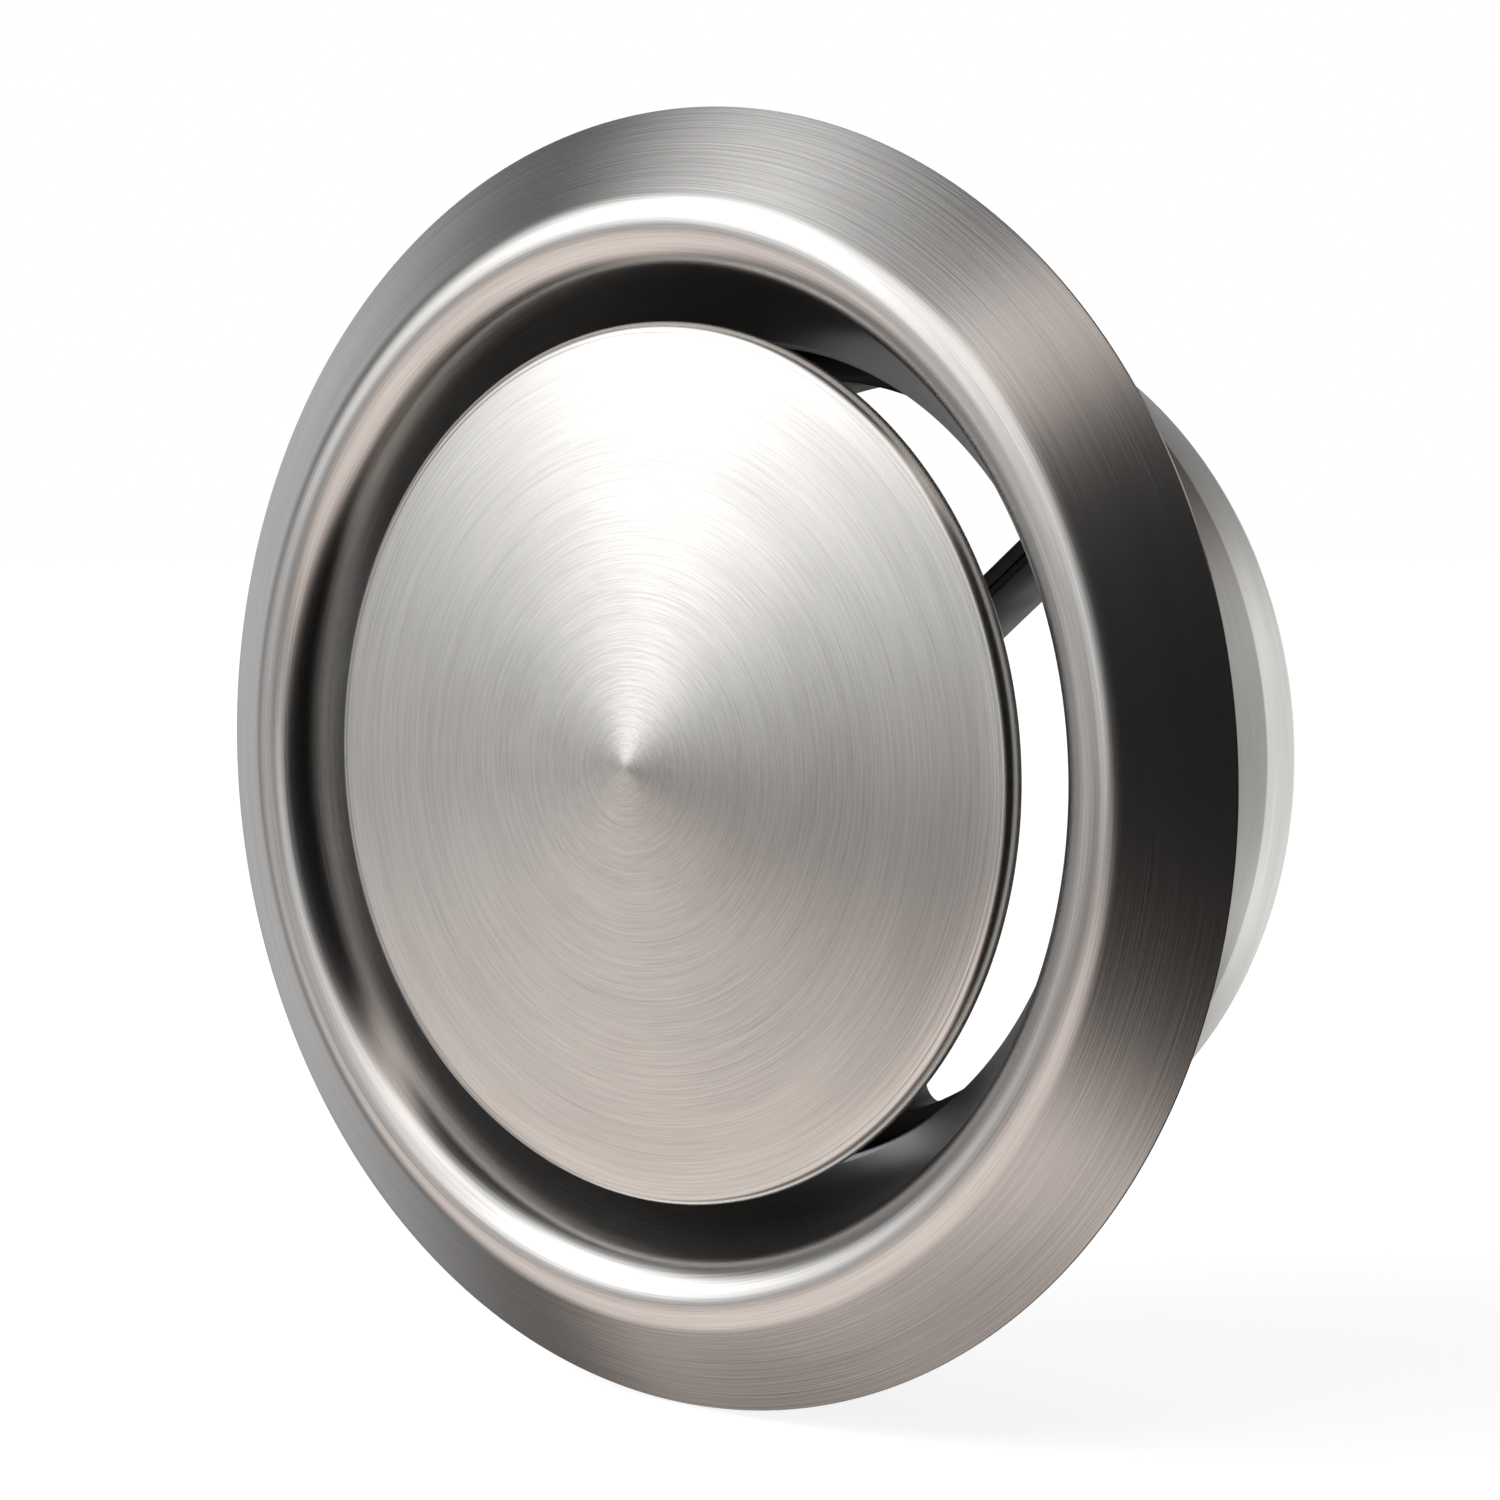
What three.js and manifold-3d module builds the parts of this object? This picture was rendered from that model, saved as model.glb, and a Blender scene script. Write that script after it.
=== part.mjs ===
// A round ceiling air valve in brushed stainless steel. A pressed front ring carries a sleeve that slips into
// the duct, and a moulded spider across the sleeve carries a threaded spindle with a shallow conical disc.
// Turning the disc screws it in or out, which narrows or widens the ring-shaped air gap round it.
//
// Millimetres, with Z up. The valve's axis is Y: the face looks along -Y and the duct lies along +Y.
// The origin is on the axis, in the plane of the flange's rear edge, where it meets the ceiling or the wall.
// Profiles are drawn as (radius, depth) pairs, where depth is the place along +Y.

import * as THREE from 'three';
import { mergeVertices } from 'three/addons/utils/BufferGeometryUtils.js';
import Module from 'manifold-3d';

const wasm = await Module();
wasm.setup();

// ---- driving dimensions ----

// spigot: the sleeve that goes into the duct, flared at the front and turned in at the rear. Its diameter is
// set by the duct, and every other round piece is set out from it.
const spigotDiameter = 123.6;
const spigotSheet = 0.7;
const spigotDepth = 51.8;
const spigotTaperLength = 10.8;
const spigotTaper = 8;
const spigotFlareBend = 3;
const spigotRearBend = 2.1;
const spigotLipCover = 3.7;

// front ring: one pressing that makes the sloping skirt, the rounded crest and the throat. The flange's edge
// and the crest stand outside the sleeve, and the throat stands inside it.
const ringSheet = 0.7;
const flangeOverhang = 21.2;
const crestOverhang = 6.7;
const crestHeight = 8.3;
const crestBend = 6.5;
const throatInset = 8.4;
const throatDepth = 13.4;
const throatBend = 8;
const throatLean = 85;

// foam ring behind the skirt
const gasketInset = 4;
const gasketWidth = 8;

// spider: rim, three arms and hub in one moulding, screwed to the spigot's rear lip
const armCount = 3;
const firstArmAngle = 39;
const armWidth = 3;
const armDepth = 13.4;
const spiderHeight = 23;
const footInset = 3.6;
const footHeight = 3;
const rimInset = 5.3;
const rimWall = 3;
const rimStep = 0.4;
const windowCorner = 3;
const hubDiameter = 26;
const hubCorner = 2;
const hubStandOut = 2;
const bossInset = 3.3;
const bossDiameter = 7.2;
const bossHeight = 11;
const pilotDepth = 9.5;

// disc: a shallow cone with a rolled rim, and the dished plate behind it
const discOverlap = 2.6;
const discSheet = 0.6;
const coneHeight = 4.6;
const rimDepth = 2.7;
const rimBend = 1.2;
const hemBend = 0.9;
const hemWidth = 3;
const discStandOut = 6.6;
const backPlateDiameter = 60;
const backPlateSeatWidth = 6;
const backPlateDishWidth = 5;
const backPlateSheet = 1;

// M6 spindle and its hardware
const spindleDiameter = 6;
const spindleTip = 0.7;
const openingTravel = 10;
const hexAcrossFlats = 10;
const boltHeadHeight = 4;
const nutHeight = 5;
const thinNutHeight = 3.2;
const stopNutHeight = 6;
const springWasherHeight = 1.4;
const springWasherSlit = 1.2;
const flatWasherHeight = 1.2;
const washerDiameter = 12;
const insertWall = 1.5;
const insertLip = 2;
const insertFlangeHeight = 1.5;

// M3 screws that hold the spider
const screwDiameter = 3;
const screwLength = 10;
const screwHeadDiameter = 5.5;
const screwHeadHeight = 2.1;
const screwWasherDiameter = 6;
const screwWasherHeight = 0.5;

// clearances: between pieces that rest on each other, and round a thread or a screw
const touch = 0.3;
const running = 0.15;

// how finely round shapes are divided
const largeSegments = 60;
const smallSegments = 24;
const bendSteps = 5;

// ---- materials ----

const metal = (color, roughness) => new THREE.MeshStandardMaterial({ color, roughness, metalness: 1 });
const plastic = (color, roughness) => new THREE.MeshStandardMaterial({ color, roughness, metalness: 0 });
const brushedStainless = metal('#b9b4ac', 0.36);
const spunStainless = metal('#c9c4bb', 0.32);
const zincPlatedSteel = metal('#a9adb0', 0.4);
const brass = metal('#b9975a', 0.38);
const blackNylon = plastic('#17171a', 0.55);
const whiteNylon = plastic('#d9d6cc', 0.5);
const foamRubber = plastic('#2b2b2d', 0.95);

// ---- geometry helpers ----

const radians = THREE.MathUtils.degToRad;
const sin = (degrees) => Math.sin(radians(degrees));
const cos = (degrees) => Math.cos(radians(degrees));

// A face of a pressing leans by an angle from facing the room: 0 faces -Y, 90 faces the axis, -90 faces away
// from it and -180 faces the duct. This is the unit normal of a face with that lean.
const facing = (lean) => ({ radius: -sin(lean), depth: -cos(lean) });

const pointOn = (radius, depth, lean) => ({ radius, depth, lean });

// Points round a bend. A face on the outside of its bend has side 1, and one on the inside has side -1.
function bendPoints(centre, bendRadius, fromLean, toLean, side = 1) {
  const points = [];
  for (let step = 0; step <= bendSteps; step += 1) {
    const lean = fromLean + ((toLean - fromLean) * step) / bendSteps;
    const normal = facing(lean);
    const reach = side * bendRadius;
    points.push(pointOn(centre.radius + reach * normal.radius, centre.depth + reach * normal.depth, lean));
  }
  return points;
}

// The lean of the straight face that touches two bends, running from the outer one towards the axis. A bend
// of radius 0 is a point.
function leanBetween(outer, outerBend, inner, innerBend) {
  const across = inner.radius - outer.radius;
  const along = inner.depth - outer.depth;
  const slant = Math.asin((innerBend - outerBend) / Math.hypot(across, along));
  const lean = 180 - THREE.MathUtils.radToDeg(slant + Math.atan2(along, across));
  return lean > 180 ? lean - 360 : lean;
}

const offsetFrom = (point, lean, distance) => ({
  radius: point.radius - distance * facing(lean).radius,
  depth: point.depth - distance * facing(lean).depth,
});

// The closed section of a pressed sheet, from the points of its seen face and its thickness.
function sheetSection(seenFace, thickness) {
  const front = seenFace.map((p) => [p.radius, p.depth]);
  const back = seenFace.map((p) => {
    const behind = offsetFrom(p, p.lean, thickness);
    return [behind.radius, behind.depth];
  });
  return [...front, ...back.reverse()];
}

// One vertex for each position, and no triangle that has shrunk to a line.
function welded(geometry) {
  const plain = new THREE.BufferGeometry();
  plain.setAttribute('position', geometry.getAttribute('position'));
  plain.setIndex(geometry.getIndex());
  const merged = mergeVertices(plain, 1e-4);
  const index = merged.getIndex().array;
  const kept = [];
  for (let i = 0; i < index.length; i += 3) {
    const [a, b, c] = index.slice(i, i + 3);
    if (a !== b && b !== c && c !== a) kept.push(a, b, c);
  }
  merged.setIndex(kept);
  return merged;
}

// A solid of revolution about Y from a closed section of [radius, depth] pairs. A section that touches the
// axis is drawn from one of its two points there to the other.
function turned(section, segments = largeSegments) {
  const outline = section.map(([radius, depth]) => new THREE.Vector2(radius, depth));
  if (THREE.ShapeUtils.area(outline) < 0) outline.reverse();
  const start = outline.findIndex((point, i) => point.x === 0 && outline.at(i - 1).x === 0);
  if (start < 0) outline.push(outline[0].clone());
  else outline.push(...outline.splice(0, start));
  return welded(new THREE.LatheGeometry(outline, segments));
}

// A straight-walled solid between two depths from a shape drawn in X and Z.
function extruded(shape, front, rear) {
  const geometry = new THREE.ExtrudeGeometry(shape, { depth: rear - front, bevelEnabled: false });
  geometry.rotateX(Math.PI / 2);
  geometry.translate(0, rear, 0);
  return welded(geometry);
}

function arcPoints(centre, radius, fromDegrees, toDegrees, steps) {
  const points = [];
  for (let step = 0; step <= steps; step += 1) {
    const angle = fromDegrees + ((toDegrees - fromDegrees) * step) / steps;
    points.push(new THREE.Vector2(centre.x + radius * cos(angle), centre.y + radius * sin(angle)));
  }
  return points;
}

const atAngle = (radius, degrees) => new THREE.Vector2(radius * cos(degrees), radius * sin(degrees));
const axisPoint = new THREE.Vector2(0, 0);

// A full circle without a repeated point.
const circlePoints = (middle, radius, steps) => arcPoints(middle, radius, 0, 360, steps).slice(0, -1);

function toSolid(geometry) {
  const vertProperties = Float32Array.from(geometry.getAttribute('position').array);
  const triVerts = Uint32Array.from(geometry.getIndex().array);
  return new wasm.Manifold(new wasm.Mesh({ numProp: 3, vertProperties, triVerts }));
}

function toGeometry(solid) {
  const mesh = solid.getMesh();
  const geometry = new THREE.BufferGeometry();
  geometry.setAttribute('position', new THREE.BufferAttribute(mesh.vertProperties, 3));
  geometry.setIndex(new THREE.BufferAttribute(mesh.triVerts, 1));
  return geometry;
}

// The first geometry joined to the others, and then cut by the tools.
function joined(geometries, tools = []) {
  let solid = toSolid(geometries[0]);
  for (const geometry of geometries.slice(1)) solid = solid.add(toSolid(geometry));
  for (const tool of tools) solid = solid.subtract(toSolid(tool));
  return toGeometry(solid);
}

const rod = (radius, front, rear, segments = smallSegments) =>
  turned([[0, front], [radius, front], [radius, rear], [0, rear]], segments);

function part(name, geometry, material) {
  geometry.computeVertexNormals();
  const mesh = new THREE.Mesh(geometry, material);
  mesh.name = name;
  return mesh;
}

// ---- layout worked out from the driving dimensions ----

const sleeveRadius = spigotDiameter / 2;
const sleeveInside = sleeveRadius - spigotSheet;
const flangeRadius = sleeveRadius + flangeOverhang;
const throatRadius = sleeveRadius - throatInset;
const discRadius = throatRadius + discOverlap;
const crestCentre = { radius: sleeveRadius + crestOverhang, depth: crestBend - crestHeight };
const throatCentre = {
  radius: throatRadius + throatBend * sin(throatLean),
  depth: throatDepth + throatBend * cos(throatLean),
};
const wallLean = leanBetween(crestCentre, crestBend, throatCentre, throatBend);

// The skirt's rear edge lies in the plane of depth 0, and its seen edge is a little in front of that. Two
// rounds settle the lean and the edge against each other.
function settledSkirtEdge() {
  let edge = { radius: flangeRadius, depth: 0 };
  let lean = leanBetween(edge, 0, crestCentre, crestBend);
  for (let round = 0; round < 2; round += 1) {
    edge = { radius: flangeRadius, depth: -ringSheet * cos(lean) };
    lean = leanBetween(edge, 0, crestCentre, crestBend);
  }
  return { ...edge, lean };
}
const skirtEdge = settledSkirtEdge();

const lipDepth = spigotDepth - spigotSheet;
const spiderRear = lipDepth - touch;
const spiderFront = spiderRear - spiderHeight;
const armRear = spiderFront + armDepth;
const footRadius = sleeveInside - footInset;
const rimRadius = footRadius - rimInset;
const windowRadius = rimRadius - rimWall;
const bossCircle = footRadius - bossInset;
const hardwareBore = spindleDiameter / 2 + running;
const insertRadius = spindleDiameter / 2 + insertWall;
const hubFront = spiderFront - hubStandOut;
const hubRear = armRear + hubStandOut;
const insertRear = hubRear + touch + insertFlangeHeight;
const armAngles = Array.from({ length: armCount }, (_, i) => firstArmAngle + (360 / armCount) * i);
const screwBore = screwDiameter / 2 + touch;

// ---- housing ----

function frontRing() {
  const seenFace = [
    pointOn(skirtEdge.radius, skirtEdge.depth, skirtEdge.lean),
    ...bendPoints(crestCentre, crestBend, skirtEdge.lean, wallLean),
    ...bendPoints(throatCentre, throatBend, wallLean, throatLean),
  ];
  return part('front_ring', turned(sheetSection(seenFace, ringSheet)), brushedStainless);
}

// The flare lies along the back of the throat's wall, where the two are spot-welded.
function spigot() {
  const crestEnd = bendPoints(crestCentre, crestBend, wallLean, wallLean)[0];
  const seat = offsetFrom(crestEnd, wallLean, ringSheet + touch);
  const flareCentre = { radius: sleeveInside + spigotFlareBend };
  const reach = (flareCentre.radius - seat.radius) * sin(wallLean);
  flareCentre.depth = seat.depth + (spigotFlareBend - reach) / cos(wallLean);
  const taperLean = 90 - spigotTaper;
  const taperStart = spigotDepth - spigotTaperLength;
  const rearCentreDepth = lipDepth - spigotRearBend;
  const taperEnd = rearCentreDepth + spigotRearBend * cos(taperLean);
  const taperEndRadius = sleeveInside - (taperEnd - taperStart) * Math.tan(radians(spigotTaper));
  const rearCentre = { radius: taperEndRadius - spigotRearBend * sin(taperLean), depth: rearCentreDepth };
  const innerFace = [
    pointOn(seat.radius, seat.depth, wallLean),
    ...bendPoints(flareCentre, spigotFlareBend, wallLean, 90),
    pointOn(sleeveInside, taperStart, 90 - spigotTaper / 2),
    ...bendPoints(rearCentre, spigotRearBend, taperLean, 0, -1),
    pointOn(bossCircle - spigotLipCover, lipDepth, 0),
  ];
  const holes = armAngles.map((angle) => {
    const hole = rod(screwBore, lipDepth - 1, spigotDepth + 1);
    const place = atAngle(bossCircle, angle);
    return hole.translate(place.x, 0, place.y);
  });
  return part('spigot', joined([turned(sheetSection(innerFace, spigotSheet))], holes), brushedStainless);
}

function flangeGasket() {
  const skirtBack = (radius) => {
    const slope = Math.tan(radians(-skirtEdge.lean));
    const seen = skirtEdge.depth - (skirtEdge.radius - radius) * slope;
    return seen + (ringSheet + touch) / cos(skirtEdge.lean);
  };
  const outer = flangeRadius - gasketInset;
  const inner = outer - gasketWidth;
  const section = [[inner, 0], [inner, skirtBack(inner)], [outer, skirtBack(outer)], [outer, 0]];
  return part('flange_gasket', turned(section), foamRubber);
}

// One opening between two arms, with rounded corners at the rim and at the hub.
function spiderWindow(startArm, endArm) {
  const hubRadius = hubDiameter / 2;
  const rimCornerRadius = windowRadius - windowCorner;
  const hubCornerRadius = hubRadius + hubCorner;
  const degrees = THREE.MathUtils.radToDeg;
  const rimSwing = degrees(Math.asin((armWidth / 2 + windowCorner) / rimCornerRadius));
  const hubSwing = degrees(Math.asin((armWidth / 2 + hubCorner) / hubCornerRadius));
  const cornerSteps = 4;
  const rimEnd = endArm - rimSwing;
  const rimStart = startArm + rimSwing;
  const hubEnd = endArm - hubSwing;
  const hubStart = startArm + hubSwing;
  const corner = (circle, angle, radius, from, to) =>
    arcPoints(atAngle(circle, angle), radius, from, to, cornerSteps);
  const outline = [
    ...arcPoints(axisPoint, windowRadius, rimStart, rimEnd, 16),
    ...corner(rimCornerRadius, rimEnd, windowCorner, rimEnd, endArm + 90).slice(1),
    ...corner(hubCornerRadius, hubEnd, hubCorner, endArm + 90, hubEnd + 180),
    ...arcPoints(axisPoint, hubRadius, hubEnd, hubStart, 6).slice(1, -1),
    ...corner(hubCornerRadius, hubStart, hubCorner, hubStart + 180, startArm + 270),
    ...corner(rimCornerRadius, rimStart, windowCorner, startArm - 90, rimStart).slice(0, -1),
  ];
  return new THREE.Path(outline);
}

function spider() {
  const wheel = new THREE.Shape(circlePoints(axisPoint, rimRadius, largeSegments));
  armAngles.forEach((angle) => wheel.holes.push(spiderWindow(angle, angle + 360 / armCount)));
  const rimInner = windowRadius + rimStep;
  const joinDepth = armRear - 1;
  const lowerRim = turned([
    [rimInner, joinDepth],
    [rimInner, spiderRear],
    [footRadius, spiderRear],
    [footRadius, spiderRear - footHeight],
    [rimRadius, spiderRear - footHeight],
    [rimRadius, joinDepth],
  ]);
  const bosses = [];
  const pilots = [];
  for (const angle of armAngles) {
    const place = atAngle(bossCircle, angle);
    bosses.push(rod(bossDiameter / 2, spiderRear - bossHeight, spiderRear).translate(place.x, 0, place.y));
    pilots.push(rod(screwBore, spiderRear - pilotDepth, spiderRear + 1).translate(place.x, 0, place.y));
  }
  const hub = rod(hubDiameter / 2, hubFront, hubRear, 36);
  const insertHole = rod(insertRadius + touch, hubFront - 1, hubRear + 1);
  const body = [extruded(wheel, spiderFront, armRear), lowerRim, hub, ...bosses];
  return part('spider', joined(body, [insertHole, ...pilots]), blackNylon);
}

// The threaded insert's flange sits behind the hub, so a pull on the disc can't draw it out.
function hubInsert() {
  const flange = insertRadius + insertLip;
  const flangeFront = insertRear - insertFlangeHeight;
  const section = [
    [hardwareBore, hubFront],
    [insertRadius, hubFront],
    [insertRadius, flangeFront],
    [flange, flangeFront],
    [flange, insertRear],
    [hardwareBore, insertRear],
  ];
  return part('hub_insert', turned(section, smallSegments), brass);
}

// ---- fasteners ----

function ringSection(outerDiameter, boreRadius, front, height) {
  const outer = outerDiameter / 2;
  return [[boreRadius, front], [outer, front], [outer, front + height], [boreRadius, front + height]];
}

function hexShape(boreRadius) {
  const corner = hexAcrossFlats / 2 / cos(30);
  const shape = new THREE.Shape(circlePoints(axisPoint, corner, 6));
  if (boreRadius > 0) shape.holes.push(new THREE.Path(circlePoints(axisPoint, boreRadius, smallSegments)));
  return shape;
}

const nut = (name, front, height, material) =>
  part(name, extruded(hexShape(hardwareBore), front, front + height), material);

// Drawn with the seat of its head at depth 0 and its shank towards the room.
function screwGeometry() {
  const shank = screwDiameter / 2;
  const head = screwHeadDiameter / 2;
  const tipLength = 1;
  const domeStart = screwHeadHeight * 0.4;
  return turned([
    [0, -screwLength],
    [shank - 0.5, -screwLength],
    [shank, tipLength - screwLength],
    [shank, 0],
    [head, 0],
    [head, domeStart],
    [head * 0.8, screwHeadHeight * 0.85],
    [head * 0.45, screwHeadHeight],
    [0, screwHeadHeight],
  ], smallSegments);
}

function spiderFixing(number, angle) {
  const group = new THREE.Group();
  const place = atAngle(bossCircle, angle);
  const washerSection = ringSection(screwWasherDiameter, screwBore, 0, screwWasherHeight);
  const washer = part(`spider_screw_washer_${number}`, turned(washerSection, smallSegments), zincPlatedSteel);
  const screw = part(`spider_screw_${number}`, screwGeometry(), zincPlatedSteel);
  group.position.set(place.x, spigotDepth + touch, place.y);
  screw.position.y = screwWasherHeight + touch;
  group.add(washer, screw);
  return group;
}

// ---- disc and spindle, drawn with the front of the disc's rim at depth 0 ----

function coneRim() {
  const rimCentre = { radius: discRadius - rimBend, depth: rimBend };
  const apex = { radius: 0, depth: -coneHeight };
  return { rimCentre, apex, lean: leanBetween(rimCentre, rimBend, apex, 0) };
}

function disc() {
  const { rimCentre, apex, lean } = coneRim();
  const hemCentre = { radius: discRadius - hemBend, depth: rimDepth - hemBend };
  const seenFace = [
    pointOn(hemCentre.radius - hemWidth, rimDepth, -180),
    ...bendPoints(hemCentre, hemBend, -180, -90),
    ...bendPoints(rimCentre, rimBend, -90, lean),
    pointOn(apex.radius, apex.depth, 0),
  ];
  return part('disc', turned(sheetSection(seenFace, discSheet)), spunStainless);
}

// Depth of the cone's back face at a radius.
function coneBack(radius) {
  const { apex, lean } = coneRim();
  return apex.depth + radius * Math.tan(radians(-lean)) + discSheet / cos(lean);
}

const headFront = coneBack(hexAcrossFlats / 2 / cos(30)) + touch;
const plateFront = headFront + boltHeadHeight + touch;
const springWasherFront = plateFront + backPlateSheet + touch;
const discNutFront = springWasherFront + springWasherHeight + touch;
const stopWasherFront = discNutFront + nutHeight + touch;
const stopNutFront = insertRear + touch + openingTravel + discStandOut;
const spindleEnd = stopNutFront + stopNutHeight + spindleTip;

// A dished plate, spot-welded round its edge to the back of the cone, that traps the spindle's hexagon head.
function discBackPlate() {
  const outer = backPlateDiameter / 2;
  const seat = outer - backPlateSeatWidth;
  const dish = seat - backPlateDishWidth;
  const face = [
    [outer, coneBack(outer) + touch],
    [seat, coneBack(seat) + touch],
    [dish, plateFront],
    [hardwareBore, plateFront],
  ];
  const rear = face.map(([radius, depth]) => [radius, depth + backPlateSheet]);
  return part('disc_back_plate', turned([...face, ...rear.reverse()], 48), zincPlatedSteel);
}

function spindle() {
  const radius = spindleDiameter / 2;
  const head = extruded(hexShape(0), headFront, headFront + boltHeadHeight);
  const shank = turned([
    [0, headFront + 1],
    [radius, headFront + 1],
    [radius, spindleEnd - spindleTip],
    [radius - spindleTip, spindleEnd],
    [0, spindleEnd],
  ], smallSegments);
  return part('spindle', joined([head, shank]), zincPlatedSteel);
}

function springWasher() {
  const outer = hexAcrossFlats / 2;
  const halfSlit = (radius) => THREE.MathUtils.radToDeg(Math.asin(springWasherSlit / 2 / radius));
  const splitRing = (radius) =>
    arcPoints(axisPoint, radius, halfSlit(radius), 360 - halfSlit(radius), smallSegments);
  const shape = new THREE.Shape([...splitRing(outer), ...splitRing(hardwareBore).reverse()]);
  const washer = extruded(shape, springWasherFront, springWasherFront + springWasherHeight);
  return part('disc_spring_washer', washer, zincPlatedSteel);
}

function flatWasher(name, front, material) {
  const section = ringSection(washerDiameter, hardwareBore, front, flatWasherHeight);
  return part(name, turned(section, smallSegments), material);
}

// ---- assembly ----

const housing = new THREE.Group();
housing.add(frontRing(), spigot(), flangeGasket(), spider(), hubInsert());
armAngles.forEach((angle, index) => housing.add(spiderFixing(index + 1, angle)));

const lockWasherFront = hubFront - touch - flatWasherHeight;
const lockSet = new THREE.Group();
lockSet.add(
  flatWasher('lock_washer', lockWasherFront, zincPlatedSteel),
  nut('lock_nut', lockWasherFront - touch - thinNutHeight, thinNutHeight, zincPlatedSteel),
);

const discSet = new THREE.Group();
discSet.add(
  disc(),
  discBackPlate(),
  spindle(),
  springWasher(),
  nut('disc_nut', discNutFront, nutHeight, zincPlatedSteel),
  flatWasher('stop_washer', stopWasherFront, whiteNylon),
  nut('end_stop_nut', stopNutFront, stopNutHeight, zincPlatedSteel),
);
discSet.position.y = -discStandOut;

const valve = new THREE.Group();
valve.add(housing, lockSet, discSet);

export default valve;
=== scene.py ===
# %% [markdown]
# # A disc valve in brushed stainless steel
# The engineering model of this round air valve is already made: every piece has its size, its place and the
# body it moves with. This lesson dresses it. Each cell makes one piece or one finish, in metres, in the same
# frame: the valve's axis is Y, the face looks along -Y and the duct lies along +Y.

# %% Load the fixed model
import math

import bmesh
import bpy
from mathutils import Matrix, Vector, noise


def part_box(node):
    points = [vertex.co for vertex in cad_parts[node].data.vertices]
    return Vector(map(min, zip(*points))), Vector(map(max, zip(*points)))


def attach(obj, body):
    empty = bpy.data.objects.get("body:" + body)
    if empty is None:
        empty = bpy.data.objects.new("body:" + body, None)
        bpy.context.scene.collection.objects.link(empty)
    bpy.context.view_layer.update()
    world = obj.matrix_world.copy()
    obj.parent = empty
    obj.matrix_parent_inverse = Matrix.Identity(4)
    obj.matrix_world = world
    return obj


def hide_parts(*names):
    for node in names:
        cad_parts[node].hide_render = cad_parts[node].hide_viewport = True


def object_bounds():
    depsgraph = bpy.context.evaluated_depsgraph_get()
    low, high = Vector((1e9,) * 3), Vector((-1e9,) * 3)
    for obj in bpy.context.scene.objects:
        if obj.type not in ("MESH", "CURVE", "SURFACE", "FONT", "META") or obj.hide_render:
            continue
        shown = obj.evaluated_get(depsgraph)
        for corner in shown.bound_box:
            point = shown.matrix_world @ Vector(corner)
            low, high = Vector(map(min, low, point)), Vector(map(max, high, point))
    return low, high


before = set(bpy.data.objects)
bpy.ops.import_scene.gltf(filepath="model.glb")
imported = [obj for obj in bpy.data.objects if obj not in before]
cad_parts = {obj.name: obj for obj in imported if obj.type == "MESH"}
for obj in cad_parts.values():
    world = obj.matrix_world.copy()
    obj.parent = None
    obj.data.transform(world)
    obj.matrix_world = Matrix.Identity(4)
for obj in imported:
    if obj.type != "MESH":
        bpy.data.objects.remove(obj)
cad_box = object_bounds()
MM = 0.001

# %% [markdown]
# ## The studio
# A camera with an 84 mm lens on a full-frame sensor stands to the right of the valve and a little above it.
# It aims just beside the valve's axis, so the flange sits a little left of the middle. Displaying the light
# without a film curve keeps the pale floor pale.

# %% Camera
camera_distance = 448 * MM
camera_azimuth = math.radians(40.4)
camera_elevation = math.radians(4.0)
aim_right = 8.7 * MM
aim_up = 1.65 * MM
lens_length = 84
sensor_width = 36

towards_camera = Vector((
    math.sin(camera_azimuth) * math.cos(camera_elevation),
    -math.cos(camera_azimuth) * math.cos(camera_elevation),
    math.sin(camera_elevation),
))
camera_right = Vector((math.cos(camera_azimuth), math.sin(camera_azimuth), 0))
camera_data = bpy.data.cameras.new("camera")
camera_data.lens = lens_length
camera_data.sensor_width = sensor_width
camera = bpy.data.objects.new("camera", camera_data)
bpy.context.scene.collection.objects.link(camera)
camera.location = towards_camera * camera_distance
aim = camera_right * aim_right + Vector((0, 0, aim_up))
camera.rotation_mode = "QUATERNION"
camera.rotation_quaternion = (aim - camera.location).to_track_quat("-Z", "Y")
bpy.context.scene.camera = camera
bpy.context.scene.view_settings.view_transform = "Standard"
print("the camera stands", round((camera.location - aim).length / MM), "mm from what it aims at")

# %% [markdown]
# ## Colours and nodes
# Colours are written the way a designer writes them, as sRGB hex, and one function turns them into the
# linear values that Blender mixes light with. Another small function adds a node, sets its values and joins
# its inputs, so that a material reads from top to bottom as a recipe.

# %% Colour and node helpers
def linear(hex_colour):
    """An sRGB hex colour as linear red, green, blue and alpha."""
    values = [int(hex_colour[i:i + 2], 16) / 255 for i in (1, 3, 5)]
    curve = [v / 12.92 if v <= 0.04045 else ((v + 0.055) / 1.055) ** 2.4 for v in values]
    return (*curve, 1.0)


def feed(tree, node, **inputs):
    """Sets a node's inputs. Each is a plain value, another node's output, or a node for its first output."""
    for key, value in inputs.items():
        if isinstance(value, bpy.types.Node):
            value = value.outputs[0]
        numbered = key.startswith("in") and key[2:].isdigit()
        socket = node.inputs[int(key[2:]) if numbered else key.replace("_", " ")]
        if isinstance(value, bpy.types.NodeSocket):
            tree.links.new(value, socket)
        else:
            socket.default_value = value


def add(tree, kind, settings=None, **inputs):
    """A new node of that kind with its inputs. Settings are named, or are just the node's operation."""
    node = tree.nodes.new("ShaderNode" + kind)
    if isinstance(settings, str):
        settings = {"operation": settings}
    for key, value in (settings or {}).items():
        setattr(node, key, value)
    feed(tree, node, **inputs)
    return node


def start_material(name, metallic, **settings):
    """A material with only its Principled shader, whose constant values go on its own sockets."""
    material = bpy.data.materials.new(name)
    material.use_nodes = True
    tree = material.node_tree
    tree.nodes.clear()
    shader = add(tree, "BsdfPrincipled", Metallic=metallic, **settings)
    add(tree, "OutputMaterial", Surface=shader)
    return material, tree, shader


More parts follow.
